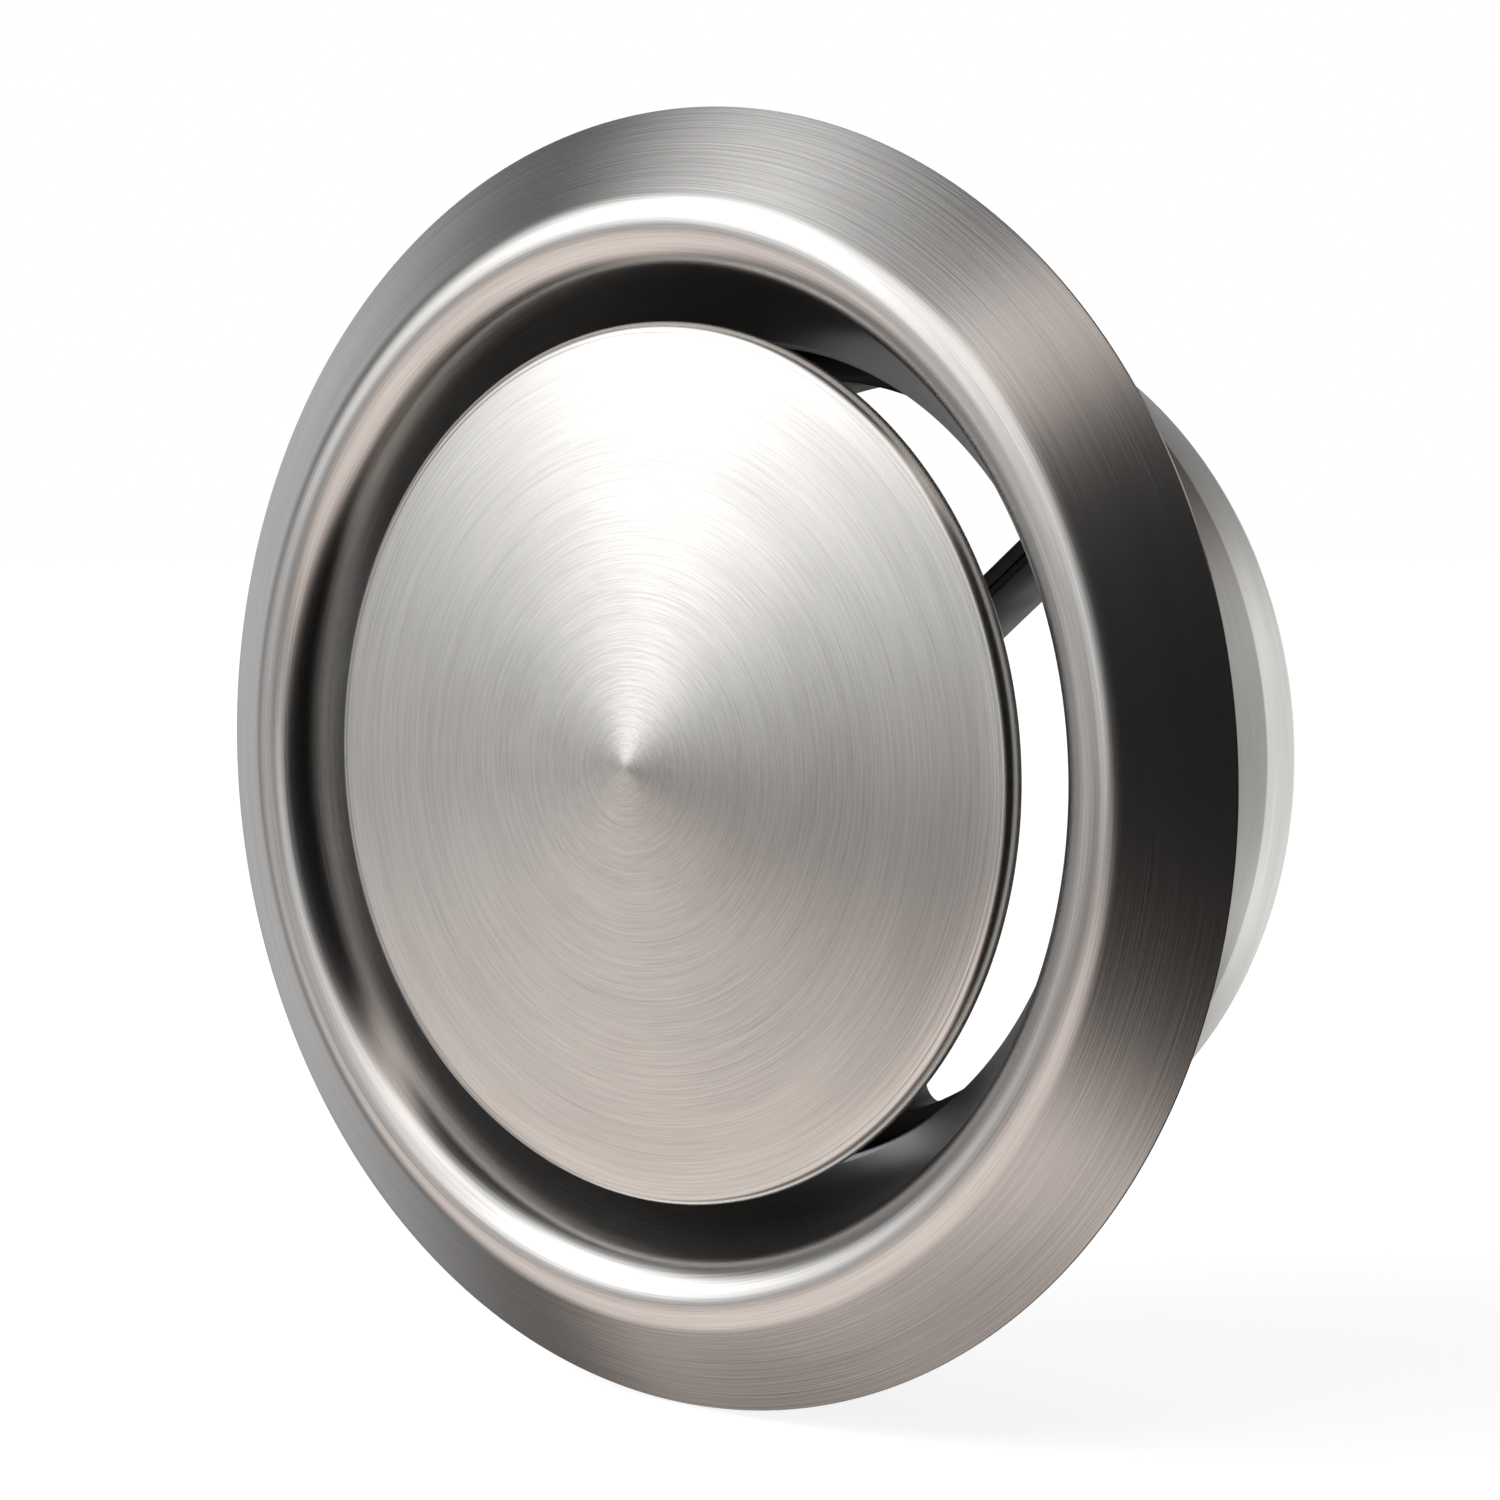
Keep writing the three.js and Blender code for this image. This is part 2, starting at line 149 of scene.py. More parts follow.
def mixed(tree, factor, first, second):
    """A colour between two hex colours, by a factor socket."""
    ends = {"in6": linear(first), "in7": linear(second)}
    return add(tree, "Mix", {"data_type": "RGBA"}, in0=factor, **ends).outputs[2]


def spread(tree, value, low=0.0, high=1.0):
    """A noise value as a value from low to high. Most of a noise lies between 0.3 and 0.7."""
    ends = {"From_Min": 0.3, "From_Max": 0.7, "To_Min": low, "To_Max": high}
    return add(tree, "MapRange", Value=value, **ends)


def weighted(tree, start, *parts):
    """A start, plus each value times its weight."""
    total = start
    for value, weight in parts:
        total = add(tree, "Math", "MULTIPLY_ADD", in0=value, in1=weight, in2=total)
    return total


print("white is", linear("#ffffff")[:3])

# %% [markdown]
# ## Brushed stainless steel
# The ring and the disc are type 304 stainless sheet, brushed while they turned, so every scratch runs round
# the axis. The gloss is anisotropic: light spreads across the scratches and hardly along them, which draws
# the bright and dark fans. The scratches show as fine broken circles: a noise whose coordinates are the
# radius, the depth and the direction round the axis, squeezed across the scratch and stretched along it.

# %% Brushing that runs round the axis
ROUND_THE_AXIS = {"direction_type": "RADIAL", "axis": "Y"}


def round_axis(tree):
    """Radius, depth and the direction round the axis, in millimetres, at each point of a turned surface."""
    place = add(tree, "TexCoord").outputs["Object"]
    in_mm = add(tree, "VectorMath", "SCALE", in0=place, Scale=1 / MM)
    flat = add(tree, "VectorMath", "MULTIPLY", in0=in_mm, in1=(1.0, 0.0, 1.0))
    radius = add(tree, "VectorMath", "LENGTH", in0=flat).outputs["Value"]
    heading = add(tree, "VectorMath", "NORMALIZE", in0=flat)
    depth = add(tree, "SeparateXYZ", in0=in_mm).outputs["Y"]
    return radius, depth, heading


def brush_lines(tree, around, width, turns, detail=2.0):
    """Noise in lines round the axis. Width is a line's width in mm and turns is how often it breaks."""
    radius, depth, heading = around
    across = add(tree, "Math", "DIVIDE", in0=radius, in1=width)
    deep = add(tree, "Math", "DIVIDE", in0=depth, in1=width)
    along = add(tree, "VectorMath", "SCALE", in0=heading, Scale=turns)
    lift = add(tree, "CombineXYZ", in1=across)
    spot = add(tree, "VectorMath", "ADD", in0=along, in1=lift)
    look = {"Scale": 1.0, "Detail": detail, "Roughness": 0.6}
    return add(tree, "TexNoise", {"noise_dimensions": "4D"}, Vector=spot, W=deep, **look)


BRUSH_LINE = 0.2
BRUSH_RELIEF = 0.03
GLOSS_SWING = 0.04


def brushed_stainless(name, pale, dark, gloss):
    """Circular brushed 304: grey metal, fine broken lines round the axis, gloss spread across them."""
    # A metal's default IOR is kept. The anisotropy is turned a quarter, because the scratches run along the
    # tangent and the light spreads across it.
    material, tree, shader = start_material(name, 1.0, Anisotropic=0.56, Anisotropic_Rotation=0.25)
    around = round_axis(tree)
    # Real brush lines are 0.05 mm wide. They're drawn at about 0.2 mm, as fine as the picture can show.
    fine = brush_lines(tree, around, BRUSH_LINE, 5.0)
    streaks = brush_lines(tree, around, BRUSH_LINE * 1.6, 0.8)
    # The sheet takes the brush unevenly, in soft bands some 8 mm wide.
    bands = brush_lines(tree, around, 8.0, 1.5, detail=1.0)
    lines = weighted(tree, fine, (streaks, 0.8))
    tone = weighted(tree, 0.0, (lines, 0.5), (bands, 0.3))
    feed(
        tree, shader,
        Base_Color=mixed(tree, spread(tree, tone), dark, pale),
        Roughness=spread(tree, lines, gloss - GLOSS_SWING, gloss + GLOSS_SWING),
        Normal=add(tree, "Bump", Strength=0.3, Distance=BRUSH_RELIEF * MM, Height=lines),
        Tangent=add(tree, "Tangent", ROUND_THE_AXIS),
    )
    return material


ring_finish = brushed_stainless("brushed_stainless_ring", "#dcdad8", "#bcbab8", 0.20)
cone_finish = brushed_stainless("brushed_stainless_disc", "#e0dedb", "#c0bebb", 0.21)
print("made", ring_finish.name, "and", cone_finish.name)

# %% [markdown]
# ## How a turned piece is made
# A spun sheet has the same section all the way round. Its seen face is drawn as a path of bends, where each
# point has a radius, a depth and a lean. Lean is the way the face looks: 0 looks at the room, 90 looks at the
# axis and -90 looks away from it. The back is the same path set back by the sheet's thickness. The closed
# section is then swept round the axis in fine steps.

# %% Bends, straight walls and the sweep
BEND_STEPS = 12
ROUND_STEPS = 288
SHARP = math.radians(35)


def facing(lean):
    """The unit normal (radius, depth) of a face with that lean in degrees."""
    return -math.sin(math.radians(lean)), -math.cos(math.radians(lean))


def bend(centre, bend_radius, from_lean, to_lean, side=1, steps=BEND_STEPS):
    """Points round a bend. A face on the outside of its bend has side 1, and on the inside side -1."""
    points = []
    for step in range(steps + 1):
        lean = from_lean + (to_lean - from_lean) * step / steps
        across, along = facing(lean)
        points.append((centre[0] + side * bend_radius * across, centre[1] + side * bend_radius * along, lean))
    return points


def lean_between(outer, outer_bend, inner, inner_bend):
    """The lean of the straight face that touches two bends, from the outer one towards the axis."""
    across, along = inner[0] - outer[0], inner[1] - outer[1]
    slant = math.asin((inner_bend - outer_bend) / math.hypot(across, along))
    lean = 180 - math.degrees(slant + math.atan2(along, across))
    return lean - 360 if lean > 180 else lean


def behind(point, lean, distance):
    """The point that far behind a face with that lean."""
    across, along = facing(lean)
    return point[0] - distance * across, point[1] - distance * along


def part_way(start, end, distance):
    """The point at that distance from the start towards the end."""
    start, end = Vector(start), Vector(end)
    return tuple(start + (end - start).normalized() * distance)


def sheet_section(seen, thickness, edge=0.15):
    """The closed section of a sheet, with its two cut edges eased by a small chamfer."""
    face = [(p[0], p[1]) for p in seen]
    back = [behind(p, p[2], thickness) for p in seen][::-1]
    section = []
    for line, other in ((face, back), (back, face)):
        section += [part_way(line[0], line[1], edge), *line[1:-1], part_way(line[-1], line[-2], edge)]
        section += [part_way(line[-1], other[0], edge), part_way(other[0], line[-1], edge)]
    return section


def turned(name, section, steps=ROUND_STEPS):
    """A mesh swept round the axis from a closed section of (radius, depth) in mm. Depth is along +Y."""
    shape = bmesh.new()
    rings = []
    for radius, depth in section:
        y = depth * MM
        if radius < 1e-6:
            rings.append([shape.verts.new((0, y, 0))])
            continue
        angles = [math.tau * i / steps for i in range(steps)]
        r = radius * MM
        rings.append([shape.verts.new((r * math.cos(a), y, r * math.sin(a))) for a in angles])
    for ring, following in zip(rings, rings[1:] + rings[:1]):
        if len(ring) == 1 and len(following) == 1:
            continue
        for i in range(steps):
            j = (i + 1) % steps
            corners = [ring[i % len(ring)], ring[j % len(ring)], following[j % len(following)],
                       following[i % len(following)]]
            shape.faces.new(list(dict.fromkeys(corners)))
    return finished(name, shape)


def finished(name, shape):
    """A built shape as an object, with all its faces looking outwards."""
    bmesh.ops.recalc_face_normals(shape, faces=shape.faces)
    mesh = bpy.data.meshes.new(name)
    shape.to_mesh(mesh)
    shape.free()
    return placed(name, mesh)


def placed(name, mesh):
    """The mesh as an object in the scene, smooth except at its true corners."""
    mesh.shade_smooth()
    mesh.set_sharp_from_angle(angle=SHARP)
    piece = bpy.data.objects.new(name, mesh)
    bpy.context.scene.collection.objects.link(piece)
    return piece


def dressed(piece, material, body, slot, *nodes):
    """Gives a piece its finish and its body, and hides the CAD nodes that it stands for. The slot is not
    used.
    """
    piece.data.materials.clear()
    piece.data.materials.append(material)
    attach(piece, body)
    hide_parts(*nodes)
    return piece


def turned_size(node):
    """A turned node's inner and outer radius, and its front and rear depth, in mm."""
    points = [v.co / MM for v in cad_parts[node].data.vertices]
    radii = [math.hypot(p.x, p.z) for p in points]
    depths = [p.y for p in points]
    return min(radii), max(radii), min(depths), max(depths)


for node in ("front_ring", "spigot", "disc", "spider"):
    print(node, [round(v, 2) for v in turned_size(node)])

# %% [markdown]
# ## The front ring
# One disc of sheet is spun over a former into a skirt, a crest and a bell-mouthed throat. The bends get many
# steps, so that the highlights run smoothly over them.

# %% Front ring
RING_SHEET = 0.7
CREST_BEND = 6.5
THROAT_BEND = 8.0
THROAT_LEAN = 85.0
CREST_OVER_SLEEVE = 6.7
SLEEVE_RADIUS = 61.8

throat_radius, flange_radius, crest_depth, throat_depth = turned_size("front_ring")
crest_centre = (SLEEVE_RADIUS + CREST_OVER_SLEEVE, crest_depth + CREST_BEND)
throat_end = (throat_radius, throat_depth - RING_SHEET * math.cos(math.radians(THROAT_LEAN)))
throat_centre = behind(throat_end, THROAT_LEAN, THROAT_BEND)
wall_lean = lean_between(crest_centre, CREST_BEND, throat_centre, THROAT_BEND)


def skirt_edge():
    """The seen edge of the skirt. The back edge of the sheet lies in the plane of depth 0."""
    point = (flange_radius, 0.0)
    lean = lean_between(point, 0, crest_centre, CREST_BEND)
    for _ in range(2):
        point = (flange_radius, -RING_SHEET * math.cos(math.radians(lean)))
        lean = lean_between(point, 0, crest_centre, CREST_BEND)
    return point, lean


skirt_end, skirt_lean = skirt_edge()
ring_face = [
    (*skirt_end, skirt_lean),
    *bend(crest_centre, CREST_BEND, skirt_lean, wall_lean, steps=20),
    *bend(throat_centre, THROAT_BEND, wall_lean, THROAT_LEAN),
]
ring = turned("ring", sheet_section(ring_face, RING_SHEET))
dressed(ring, ring_finish, "housing", "brushed_stainless", "front_ring")
print("skirt leans", round(skirt_lean, 1), "and the throat's wall", round(wall_lean, 1), "degrees")

# %% [markdown]
# ## The disc
# A shallow cone is spun from thinner sheet. Its rim is rolled round to the back, which leaves a fine groove
# just inside the edge, where the roller stopped. The tip is slightly blunt.

# %% Disc
DISC_SHEET = 0.6
RIM_BEND = 1.6
HEM_BEND = 0.9
HEM_WIDTH = 3.0
RIM_DEPTH = 2.7
CONE_HEIGHT = 4.6
TIP_FLAT = 0.8
GROOVE_INSIDE = 0.5
GROOVE_WIDTH = 0.5
GROOVE_DEPTH = 0.05
TIP_SUNK = 0.04
CONE_RINGS = (50, 40, 30, 20, 10, 4, 2, TIP_FLAT * 1.6)

_, disc_radius, apex_depth, _ = turned_size("disc")
rim_front = apex_depth + CONE_HEIGHT
rim_centre = (disc_radius - RIM_BEND, rim_front + RIM_BEND)
hem_centre = (disc_radius - HEM_BEND, rim_front + RIM_DEPTH - HEM_BEND)
cone_lean = lean_between(rim_centre, RIM_BEND, (0.0, apex_depth), 0)


def on_cone(radius, sunk=0.0):
    """A point of the cone's seen face, sunk by some mm below it."""
    return radius, apex_depth + radius * math.tan(math.radians(-cone_lean)) + sunk, cone_lean


def groove(outer_radius):
    """The rounded groove that the roller leaves, from its outer edge inwards."""
    steps = 8
    points = []
    for step in range(steps + 1):
        share = step / steps
        sunk = GROOVE_DEPTH * math.sin(math.pi * share) ** 2
        points.append(on_cone(outer_radius - GROOVE_WIDTH * share, sunk))
    return points


rim_end = bend(rim_centre, RIM_BEND, -90, cone_lean)
disc_face = [
    (hem_centre[0] - HEM_WIDTH, rim_front + RIM_DEPTH, -180),
    *bend(hem_centre, HEM_BEND, -180, -90),
    *rim_end,
    *groove(disc_radius - GROOVE_INSIDE - RIM_BEND / 2),
    *[on_cone(radius) for radius in CONE_RINGS],
    (TIP_FLAT * 0.8, apex_depth + TIP_FLAT * 0.075, cone_lean / 2),
]


def closed_on_axis(seen, thickness, front_depth):
    """The section of a sheet that reaches the axis: face, tip, back of the tip, back."""
    face = [(p[0], p[1]) for p in seen]
    back = [behind(p, p[2], thickness) for p in seen]
    return [(0.0, front_depth + thickness), *back[::-1], *face, (0.0, front_depth)]


disc_piece = turned("spun_disc", closed_on_axis(disc_face, DISC_SHEET, apex_depth + TIP_SUNK))
dressed(disc_piece, cone_finish, "disc_assembly", "spun_stainless", "disc")
print("the cone leans", round(cone_lean, 2), "degrees")

# %% [markdown]
# ## The spigot
# The sleeve that slips into the duct is spun from the same sheet. Its front is flared along the back of the
# throat, and its rear is turned in to a flat lip that the spider is screwed to. It keeps the mill's satin,
# with tool marks running round it and a few straight rubs from being pushed into a duct.

# %% Spigot
SPIGOT_SHEET = 0.7
FLARE_BEND = 3.0
REAR_BEND = 2.1
CREASE_BEND = 2.5
TAPER = 8.0
TAPER_LENGTH = 10.8
TOUCH = 0.3

lip_radius, _, _, spigot_rear = turned_size("spigot")
sleeve_inside = SLEEVE_RADIUS - SPIGOT_SHEET
taper_start = spigot_rear - TAPER_LENGTH
lip_front = spigot_rear - SPIGOT_SHEET


def spigot_face():
    """The sleeve's inner face, from its seat behind the throat to the edge of the rear lip."""
    across, along = facing(wall_lean)
    crest_end = (crest_centre[0] + CREST_BEND * across, crest_centre[1] + CREST_BEND * along)
    seat = behind(crest_end, wall_lean, RING_SHEET + TOUCH)
    flare_radius = sleeve_inside + FLARE_BEND
    reach = (flare_radius - seat[0]) * math.sin(math.radians(wall_lean))
    flare_centre = (flare_radius, seat[1] + (FLARE_BEND - reach) / math.cos(math.radians(wall_lean)))
    taper_lean = 90 - TAPER
    rear_depth = lip_front - REAR_BEND
    taper_end = rear_depth + REAR_BEND * math.cos(math.radians(taper_lean))
    taper_radius = sleeve_inside - (taper_end - taper_start) * math.tan(math.radians(TAPER))
    rear_centre = (taper_radius - REAR_BEND * math.sin(math.radians(taper_lean)), rear_depth)
    half_crease = CREASE_BEND * math.tan(math.radians(TAPER / 2))
    crease_centre = (sleeve_inside - CREASE_BEND, taper_start - half_crease)
    return [
        (*seat, wall_lean),
        *bend(flare_centre, FLARE_BEND, wall_lean, 90),
        *bend(crease_centre, CREASE_BEND, 90, taper_lean, side=-1, steps=4),
        *bend(rear_centre, REAR_BEND, taper_lean, 0, side=-1),
        (lip_radius, lip_front, 0.0),
    ]


RUB_LENGTH = 15.0
RUBS_ROUND = 110.0
RUBS_END = 30.0
RUBS_FULL = 8.0


def mill_finish(name, pale, dark, gloss):
    """Rolled and spun 304: softer than the brushed faces, with rubs along the axis near the flange."""
    material, tree, shader = start_material(name, 1.0, Anisotropic=0.7, Anisotropic_Rotation=0.25)
    around = round_axis(tree)
    radius, depth, heading = around
    fine = brush_lines(tree, around, 0.3, 5.0)
    bands = brush_lines(tree, around, 12.0, 1.0, detail=1.0)
    # A rub is long and thin, so its noise is squeezed round the axis and stretched along it.
    turn = add(tree, "VectorMath", "SCALE", in0=heading, Scale=RUBS_ROUND)
    along = add(tree, "Math", "DIVIDE", in0=depth, in1=RUB_LENGTH)
    rubs = add(tree, "TexNoise", {"noise_dimensions": "4D"}, Vector=turn, Scale=1.0, Detail=1.0, W=along)
    deep = add(tree, "MapRange", Value=rubs, From_Min=0.60, From_Max=0.72)
    near = add(tree, "MapRange", Value=depth, From_Min=RUBS_END, From_Max=RUBS_FULL)
    rub_marks_and_edge_highlight = add(tree, "Math", "MULTIPLY", in0=deep, in1=near)
    tone = weighted(tree, 0.15, (bands, 0.4), (fine, 0.3), (rub_marks_and_edge_highlight, -0.35))
    feed(
        tree, shader,
        Base_Color=mixed(tree, spread(tree, tone), dark, pale),
        Roughness=spread(tree, tone, gloss + 0.05, gloss - 0.03),
        Normal=add(tree, "Bump", Strength=0.25, Distance=BRUSH_RELIEF * MM, Height=tone),
        Tangent=add(tree, "Tangent", ROUND_THE_AXIS),
    )
    return material


def combined(name, base, joined=(), cut=(), kept=()):
    """The base piece joined to some, cut by others and kept only inside others, as one new closed mesh."""
    for operation, tools in (("UNION", joined), ("DIFFERENCE", cut), ("INTERSECT", kept)):
        for tool in tools:
            step = base.modifiers.new(operation.lower(), "BOOLEAN")
            step.operation = operation
            step.solver = "MANIFOLD"
            step.object = tool
    graph = bpy.context.evaluated_depsgraph_get()
    mesh = bpy.data.meshes.new_from_object(base.evaluated_get(graph))
    for used in (base, *joined, *cut, *kept):
        bpy.data.objects.remove(used)
    return placed(name, mesh)


def moved(piece, x, z):
    """Shifts a piece's mesh sideways by some mm."""
    piece.data.transform(Matrix.Translation((x * MM, 0, z * MM)))
    return piece


def at_node(piece, node):
    """Shifts a piece made round the valve's axis to the axis of a small node, such as a screw."""
    low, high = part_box(node)
    centre = (low + high) / 2 / MM
    return moved(piece, centre.x, centre.z)


def rod(radius, front, rear, steps=48):
    """A plain cylinder about the axis, to cut with."""
    return turned("rod", [(0, front), (radius, front), (radius, rear), (0, rear)], steps)


SCREWS = [f"spider_screw_{number}" for number in (1, 2, 3)]
SCREW_HOLE = 1.8

satin = mill_finish("mill_satin_stainless", "#d6d5d1", "#b4b3af", 0.36)
sleeve = turned("sleeve", sheet_section(spigot_face(), SPIGOT_SHEET, edge=0.12))
holes = [at_node(rod(SCREW_HOLE, lip_front - 1, spigot_rear + 1), node) for node in SCREWS]
sleeve = combined("spigot_sleeve", sleeve, cut=holes)
dressed(sleeve, satin, "housing", "satin_stainless", "spigot")
print("the sleeve has", len(sleeve.data.polygons), "faces")

# %% [markdown]
# ## The foam ring
# A ring of closed-cell EPDM foam lies in the hollow of the skirt and seals it against the ceiling. It is matt
# black and full of tiny bubbles. Its corners are rounded, and its surface is pushed in by a smooth noise of a
# few hundredths of a millimetre.

# %% Foam ring
FOAM_CORNER = 0.7
FOAM_WOBBLE = 0.08
FOAM_WAVES = 400


def rounded(corners, radius, steps=4):
    """A closed section with its corners rounded."""
    points = []
    count = len(corners)
    for i in range(count):
        here = Vector(corners[i])
        before, after = Vector(corners[i - 1]) - here, Vector(corners[(i + 1) % count]) - here
        reach = min(radius, before.length * 0.45, after.length * 0.45)
        start, end = here + before.normalized() * reach, here + after.normalized() * reach
        for step in range(steps + 1):
            t = step / steps
            points.append(tuple(start * (1 - t) ** 2 + here * 2 * t * (1 - t) + end * t ** 2))
    return points


def closed_cell_foam(name):
    """EPDM foam: matt, nearly black, with cut bubbles 0.3 to 0.8 mm across."""
    material, tree, shader = start_material(name, 0.0, Roughness=0.92, Specular_IOR_Level=0.3)
    place = add(tree, "TexCoord").outputs["Object"]
    bubbles = add(tree, "TexVoronoi", Vector=place, Scale=1700.0)
    patches = add(tree, "TexNoise", Vector=place, Scale=180.0, Detail=3.0)
    colour = mixed(tree, spread(tree, patches), "#1f1f21", "#343437")
    pits = add(tree, "Bump", Strength=0.8, Distance=0.2 * MM, Height=bubbles)
    feed(tree, shader, Base_Color=colour, Normal=pits)
    return material


def foam_section():
    """The ring's section: flat at the ceiling, and sloped like the skirt in front."""
    inner, outer, _, rear = turned_size("flange_gasket")
    slope = math.tan(math.radians(-skirt_lean))
    clear = (RING_SHEET + TOUCH) / math.cos(math.radians(skirt_lean))
    fronts = [skirt_end[1] - (skirt_end[0] - radius) * slope + clear for radius in (inner, outer)]
    return rounded([(inner, rear), (inner, fronts[0]), (outer, fronts[1]), (outer, rear)], FOAM_CORNER)


foam = turned("foam_ring", foam_section())
for vertex in foam.data.vertices:
    push = noise.noise(vertex.co * FOAM_WAVES) * FOAM_WOBBLE * MM
    vertex.co += vertex.normal * min(push, 0.0)
dressed(foam, closed_cell_foam("closed_cell_foam"), "housing", "foam_rubber", "flange_gasket")
print("foam ring", [round(v, 1) for v in turned_size("flange_gasket")])

# %% [markdown]
# ## The spider
# One moulding in black glass-filled nylon holds the spindle in the middle of the air stream: a hub, three
# thin deep arms and a rim that steps out to a foot at the rear. It starts as a wheel with rounded windows,
# drawn as a 2D curve, because Blender fills its holes and rounds its edges by itself.

# %% The wheel's outline
ARM_COUNT = 3
FIRST_ARM = 39.0
ARM_WIDTH = 3.0
ARM_DEPTH = 13.4
ARM_RIDGE_WIDTH = 1.1
ARM_RIDGE_HEIGHT = 0.5
RIDGE_EASE = 0.2
HUB_RADIUS = 13.0
HUB_STAND_OUT = 2.0
RIM_INSET = 5.3
RIM_WALL = 3.0
FOOT_HEIGHT = 3.0
RIM_STEP = 0.4
RIM_CORNER = 3.0
HUB_CORNER = 2.0
EDGE_ROUND = 0.25
BOSS_RADIUS = 3.6
BOSS_HEIGHT = 11.0
PILOT_DEPTH = 9.5

_, foot_radius, hub_front, spider_rear = turned_size("spider")
arm_front = hub_front + HUB_STAND_OUT
arm_rear = arm_front + ARM_DEPTH
hub_rear = arm_rear + HUB_STAND_OUT
rim_radius = foot_radius - RIM_INSET
window_radius = rim_radius - RIM_WALL


def arc(centre, radius, start, end, steps):
    """Points along an arc, in degrees, ends included."""
    angles = [math.radians(start + (end - start) * i / steps) for i in range(steps + 1)]
    return [(centre[0] + radius * math.cos(a), centre[1] + radius * math.sin(a)) for a in angles]


def polar(radius, degrees):
    """A point on a circle round the axis."""
    return radius * math.cos(math.radians(degrees)), radius * math.sin(math.radians(degrees))


def window_outline(start_arm, end_arm):
    """One opening between two arms, with round corners at the rim and at the hub."""
    rim_circle, hub_circle = window_radius - RIM_CORNER, HUB_RADIUS + HUB_CORNER
    rim_swing = math.degrees(math.asin((ARM_WIDTH / 2 + RIM_CORNER) / rim_circle))
    hub_swing = math.degrees(math.asin((ARM_WIDTH / 2 + HUB_CORNER) / hub_circle))
    rim_start, rim_end = start_arm + rim_swing, end_arm - rim_swing
    hub_start, hub_end = start_arm + hub_swing, end_arm - hub_swing
    return [
        *arc((0, 0), window_radius, rim_start, rim_end, 64)[:-1],
        *arc(polar(rim_circle, rim_end), RIM_CORNER, rim_end, end_arm + 90, 10),
        *arc(polar(hub_circle, hub_end), HUB_CORNER, end_arm + 90, hub_end + 180, 8)[:-1],
        *arc((0, 0), HUB_RADIUS, hub_end, hub_start, 24)[:-1],
        *arc(polar(hub_circle, hub_start), HUB_CORNER, hub_start + 180, start_arm + 270, 8),
        *arc(polar(rim_circle, rim_start), RIM_CORNER, start_arm - 90, rim_start, 10)[:-1],
    ]


def extruded(name, outlines, front, rear, edge=0.0):
    """A flat shape drawn in X and Z, with holes, made solid between two depths, with rounded edges."""
    curve = bpy.data.curves.new(name, "CURVE")
    curve.dimensions = "2D"
    curve.fill_mode = "BOTH"
    curve.extrude = ((rear - front) / 2 - edge) * MM
    curve.bevel_depth = edge * MM
    curve.bevel_resolution = 2
    curve.offset = -edge * MM
    for outline in outlines:
        spline = curve.splines.new("POLY")
        spline.points.add(len(outline) - 1)
        for point, (x, z) in zip(spline.points, outline):
            point.co = (x * MM, z * MM, 0, 1)
        spline.use_cyclic_u = True
    flat = bpy.data.objects.new(name, curve)
    bpy.context.scene.collection.objects.link(flat)
    mesh = bpy.data.meshes.new_from_object(flat.evaluated_get(bpy.context.evaluated_depsgraph_get()))
    bpy.data.objects.remove(flat)
    mesh.transform(Matrix.Rotation(math.radians(90), 4, "X"))
    mesh.transform(Matrix.Translation((0, (front + rear) / 2 * MM, 0)))
    shape = bmesh.new()
    shape.from_mesh(mesh)
    bmesh.ops.remove_doubles(shape, verts=shape.verts, dist=1e-7)
    return finished(name, shape)


arm_angles = [FIRST_ARM + 360 / ARM_COUNT * i for i in range(ARM_COUNT)]
outer_ring = arc((0, 0), rim_radius, 0, 360, 240)[:-1]
windows = [window_outline(angle, angle + 360 / ARM_COUNT) for angle in arm_angles]
wheel = extruded("wheel", [outer_ring, *windows], arm_front, arm_rear, EDGE_ROUND)
print("the wheel has", len(windows), "windows and", len(wheel.data.polygons), "faces")

# %% [markdown]
# The rest of the moulding is joined to the wheel: the lower rim and its foot, the hub with eased edges, a
# ridge down the front of each arm, and a domed boss over each screw. The joined pieces lie a little inside
# each other, or the join would leave a crack.

# %% The whole moulding
JOIN = 1.0
INSERT_HOLE = 4.8
HUB_CHAMFER = 0.6

lower_rim = turned("lower_rim", rounded([
    (window_radius + RIM_STEP, arm_rear - JOIN),
    (window_radius + RIM_STEP, spider_rear),
    (foot_radius, spider_rear),
    (foot_radius, spider_rear - FOOT_HEIGHT),
    (rim_radius, spider_rear - FOOT_HEIGHT),
    (rim_radius, arm_rear - JOIN),
], EDGE_ROUND, 3))
hub = turned("hub", [
    (0, hub_front),
    (HUB_RADIUS - HUB_CHAMFER, hub_front),
    (HUB_RADIUS, hub_front + HUB_CHAMFER),
    (HUB_RADIUS, hub_rear - HUB_CHAMFER),
    (HUB_RADIUS - HUB_CHAMFER, hub_rear),
    (0, hub_rear),
], 144)


def ridge(angle):
    """The stiffening ridge down the front of one arm, from the hub to the rim."""
    half = ARM_RIDGE_WIDTH / 2
    inner, outer = HUB_RADIUS - JOIN, rim_radius - JOIN
    turn = math.radians(angle)
    outline = [(x * math.cos(turn) - z * math.sin(turn), x * math.sin(turn) + z * math.cos(turn))
               for x, z in ((inner, -half), (outer, -half), (outer, half), (inner, half))]
    return extruded("ridge", [outline], arm_front - ARM_RIDGE_HEIGHT, arm_front + JOIN, RIDGE_EASE)


def boss(node):
    """The tube that a screw bites into, with a domed top."""
    top = spider_rear - BOSS_HEIGHT
    dome = [(BOSS_RADIUS * math.sin(a), top + BOSS_RADIUS * 0.5 * (1 - math.cos(a)))
            for a in (math.radians(15 * i) for i in range(1, 7))]
    tube = turned("boss", [(0, top), *dome, (BOSS_RADIUS, spider_rear), (0, spider_rear)], 64)
    return at_node(tube, node)


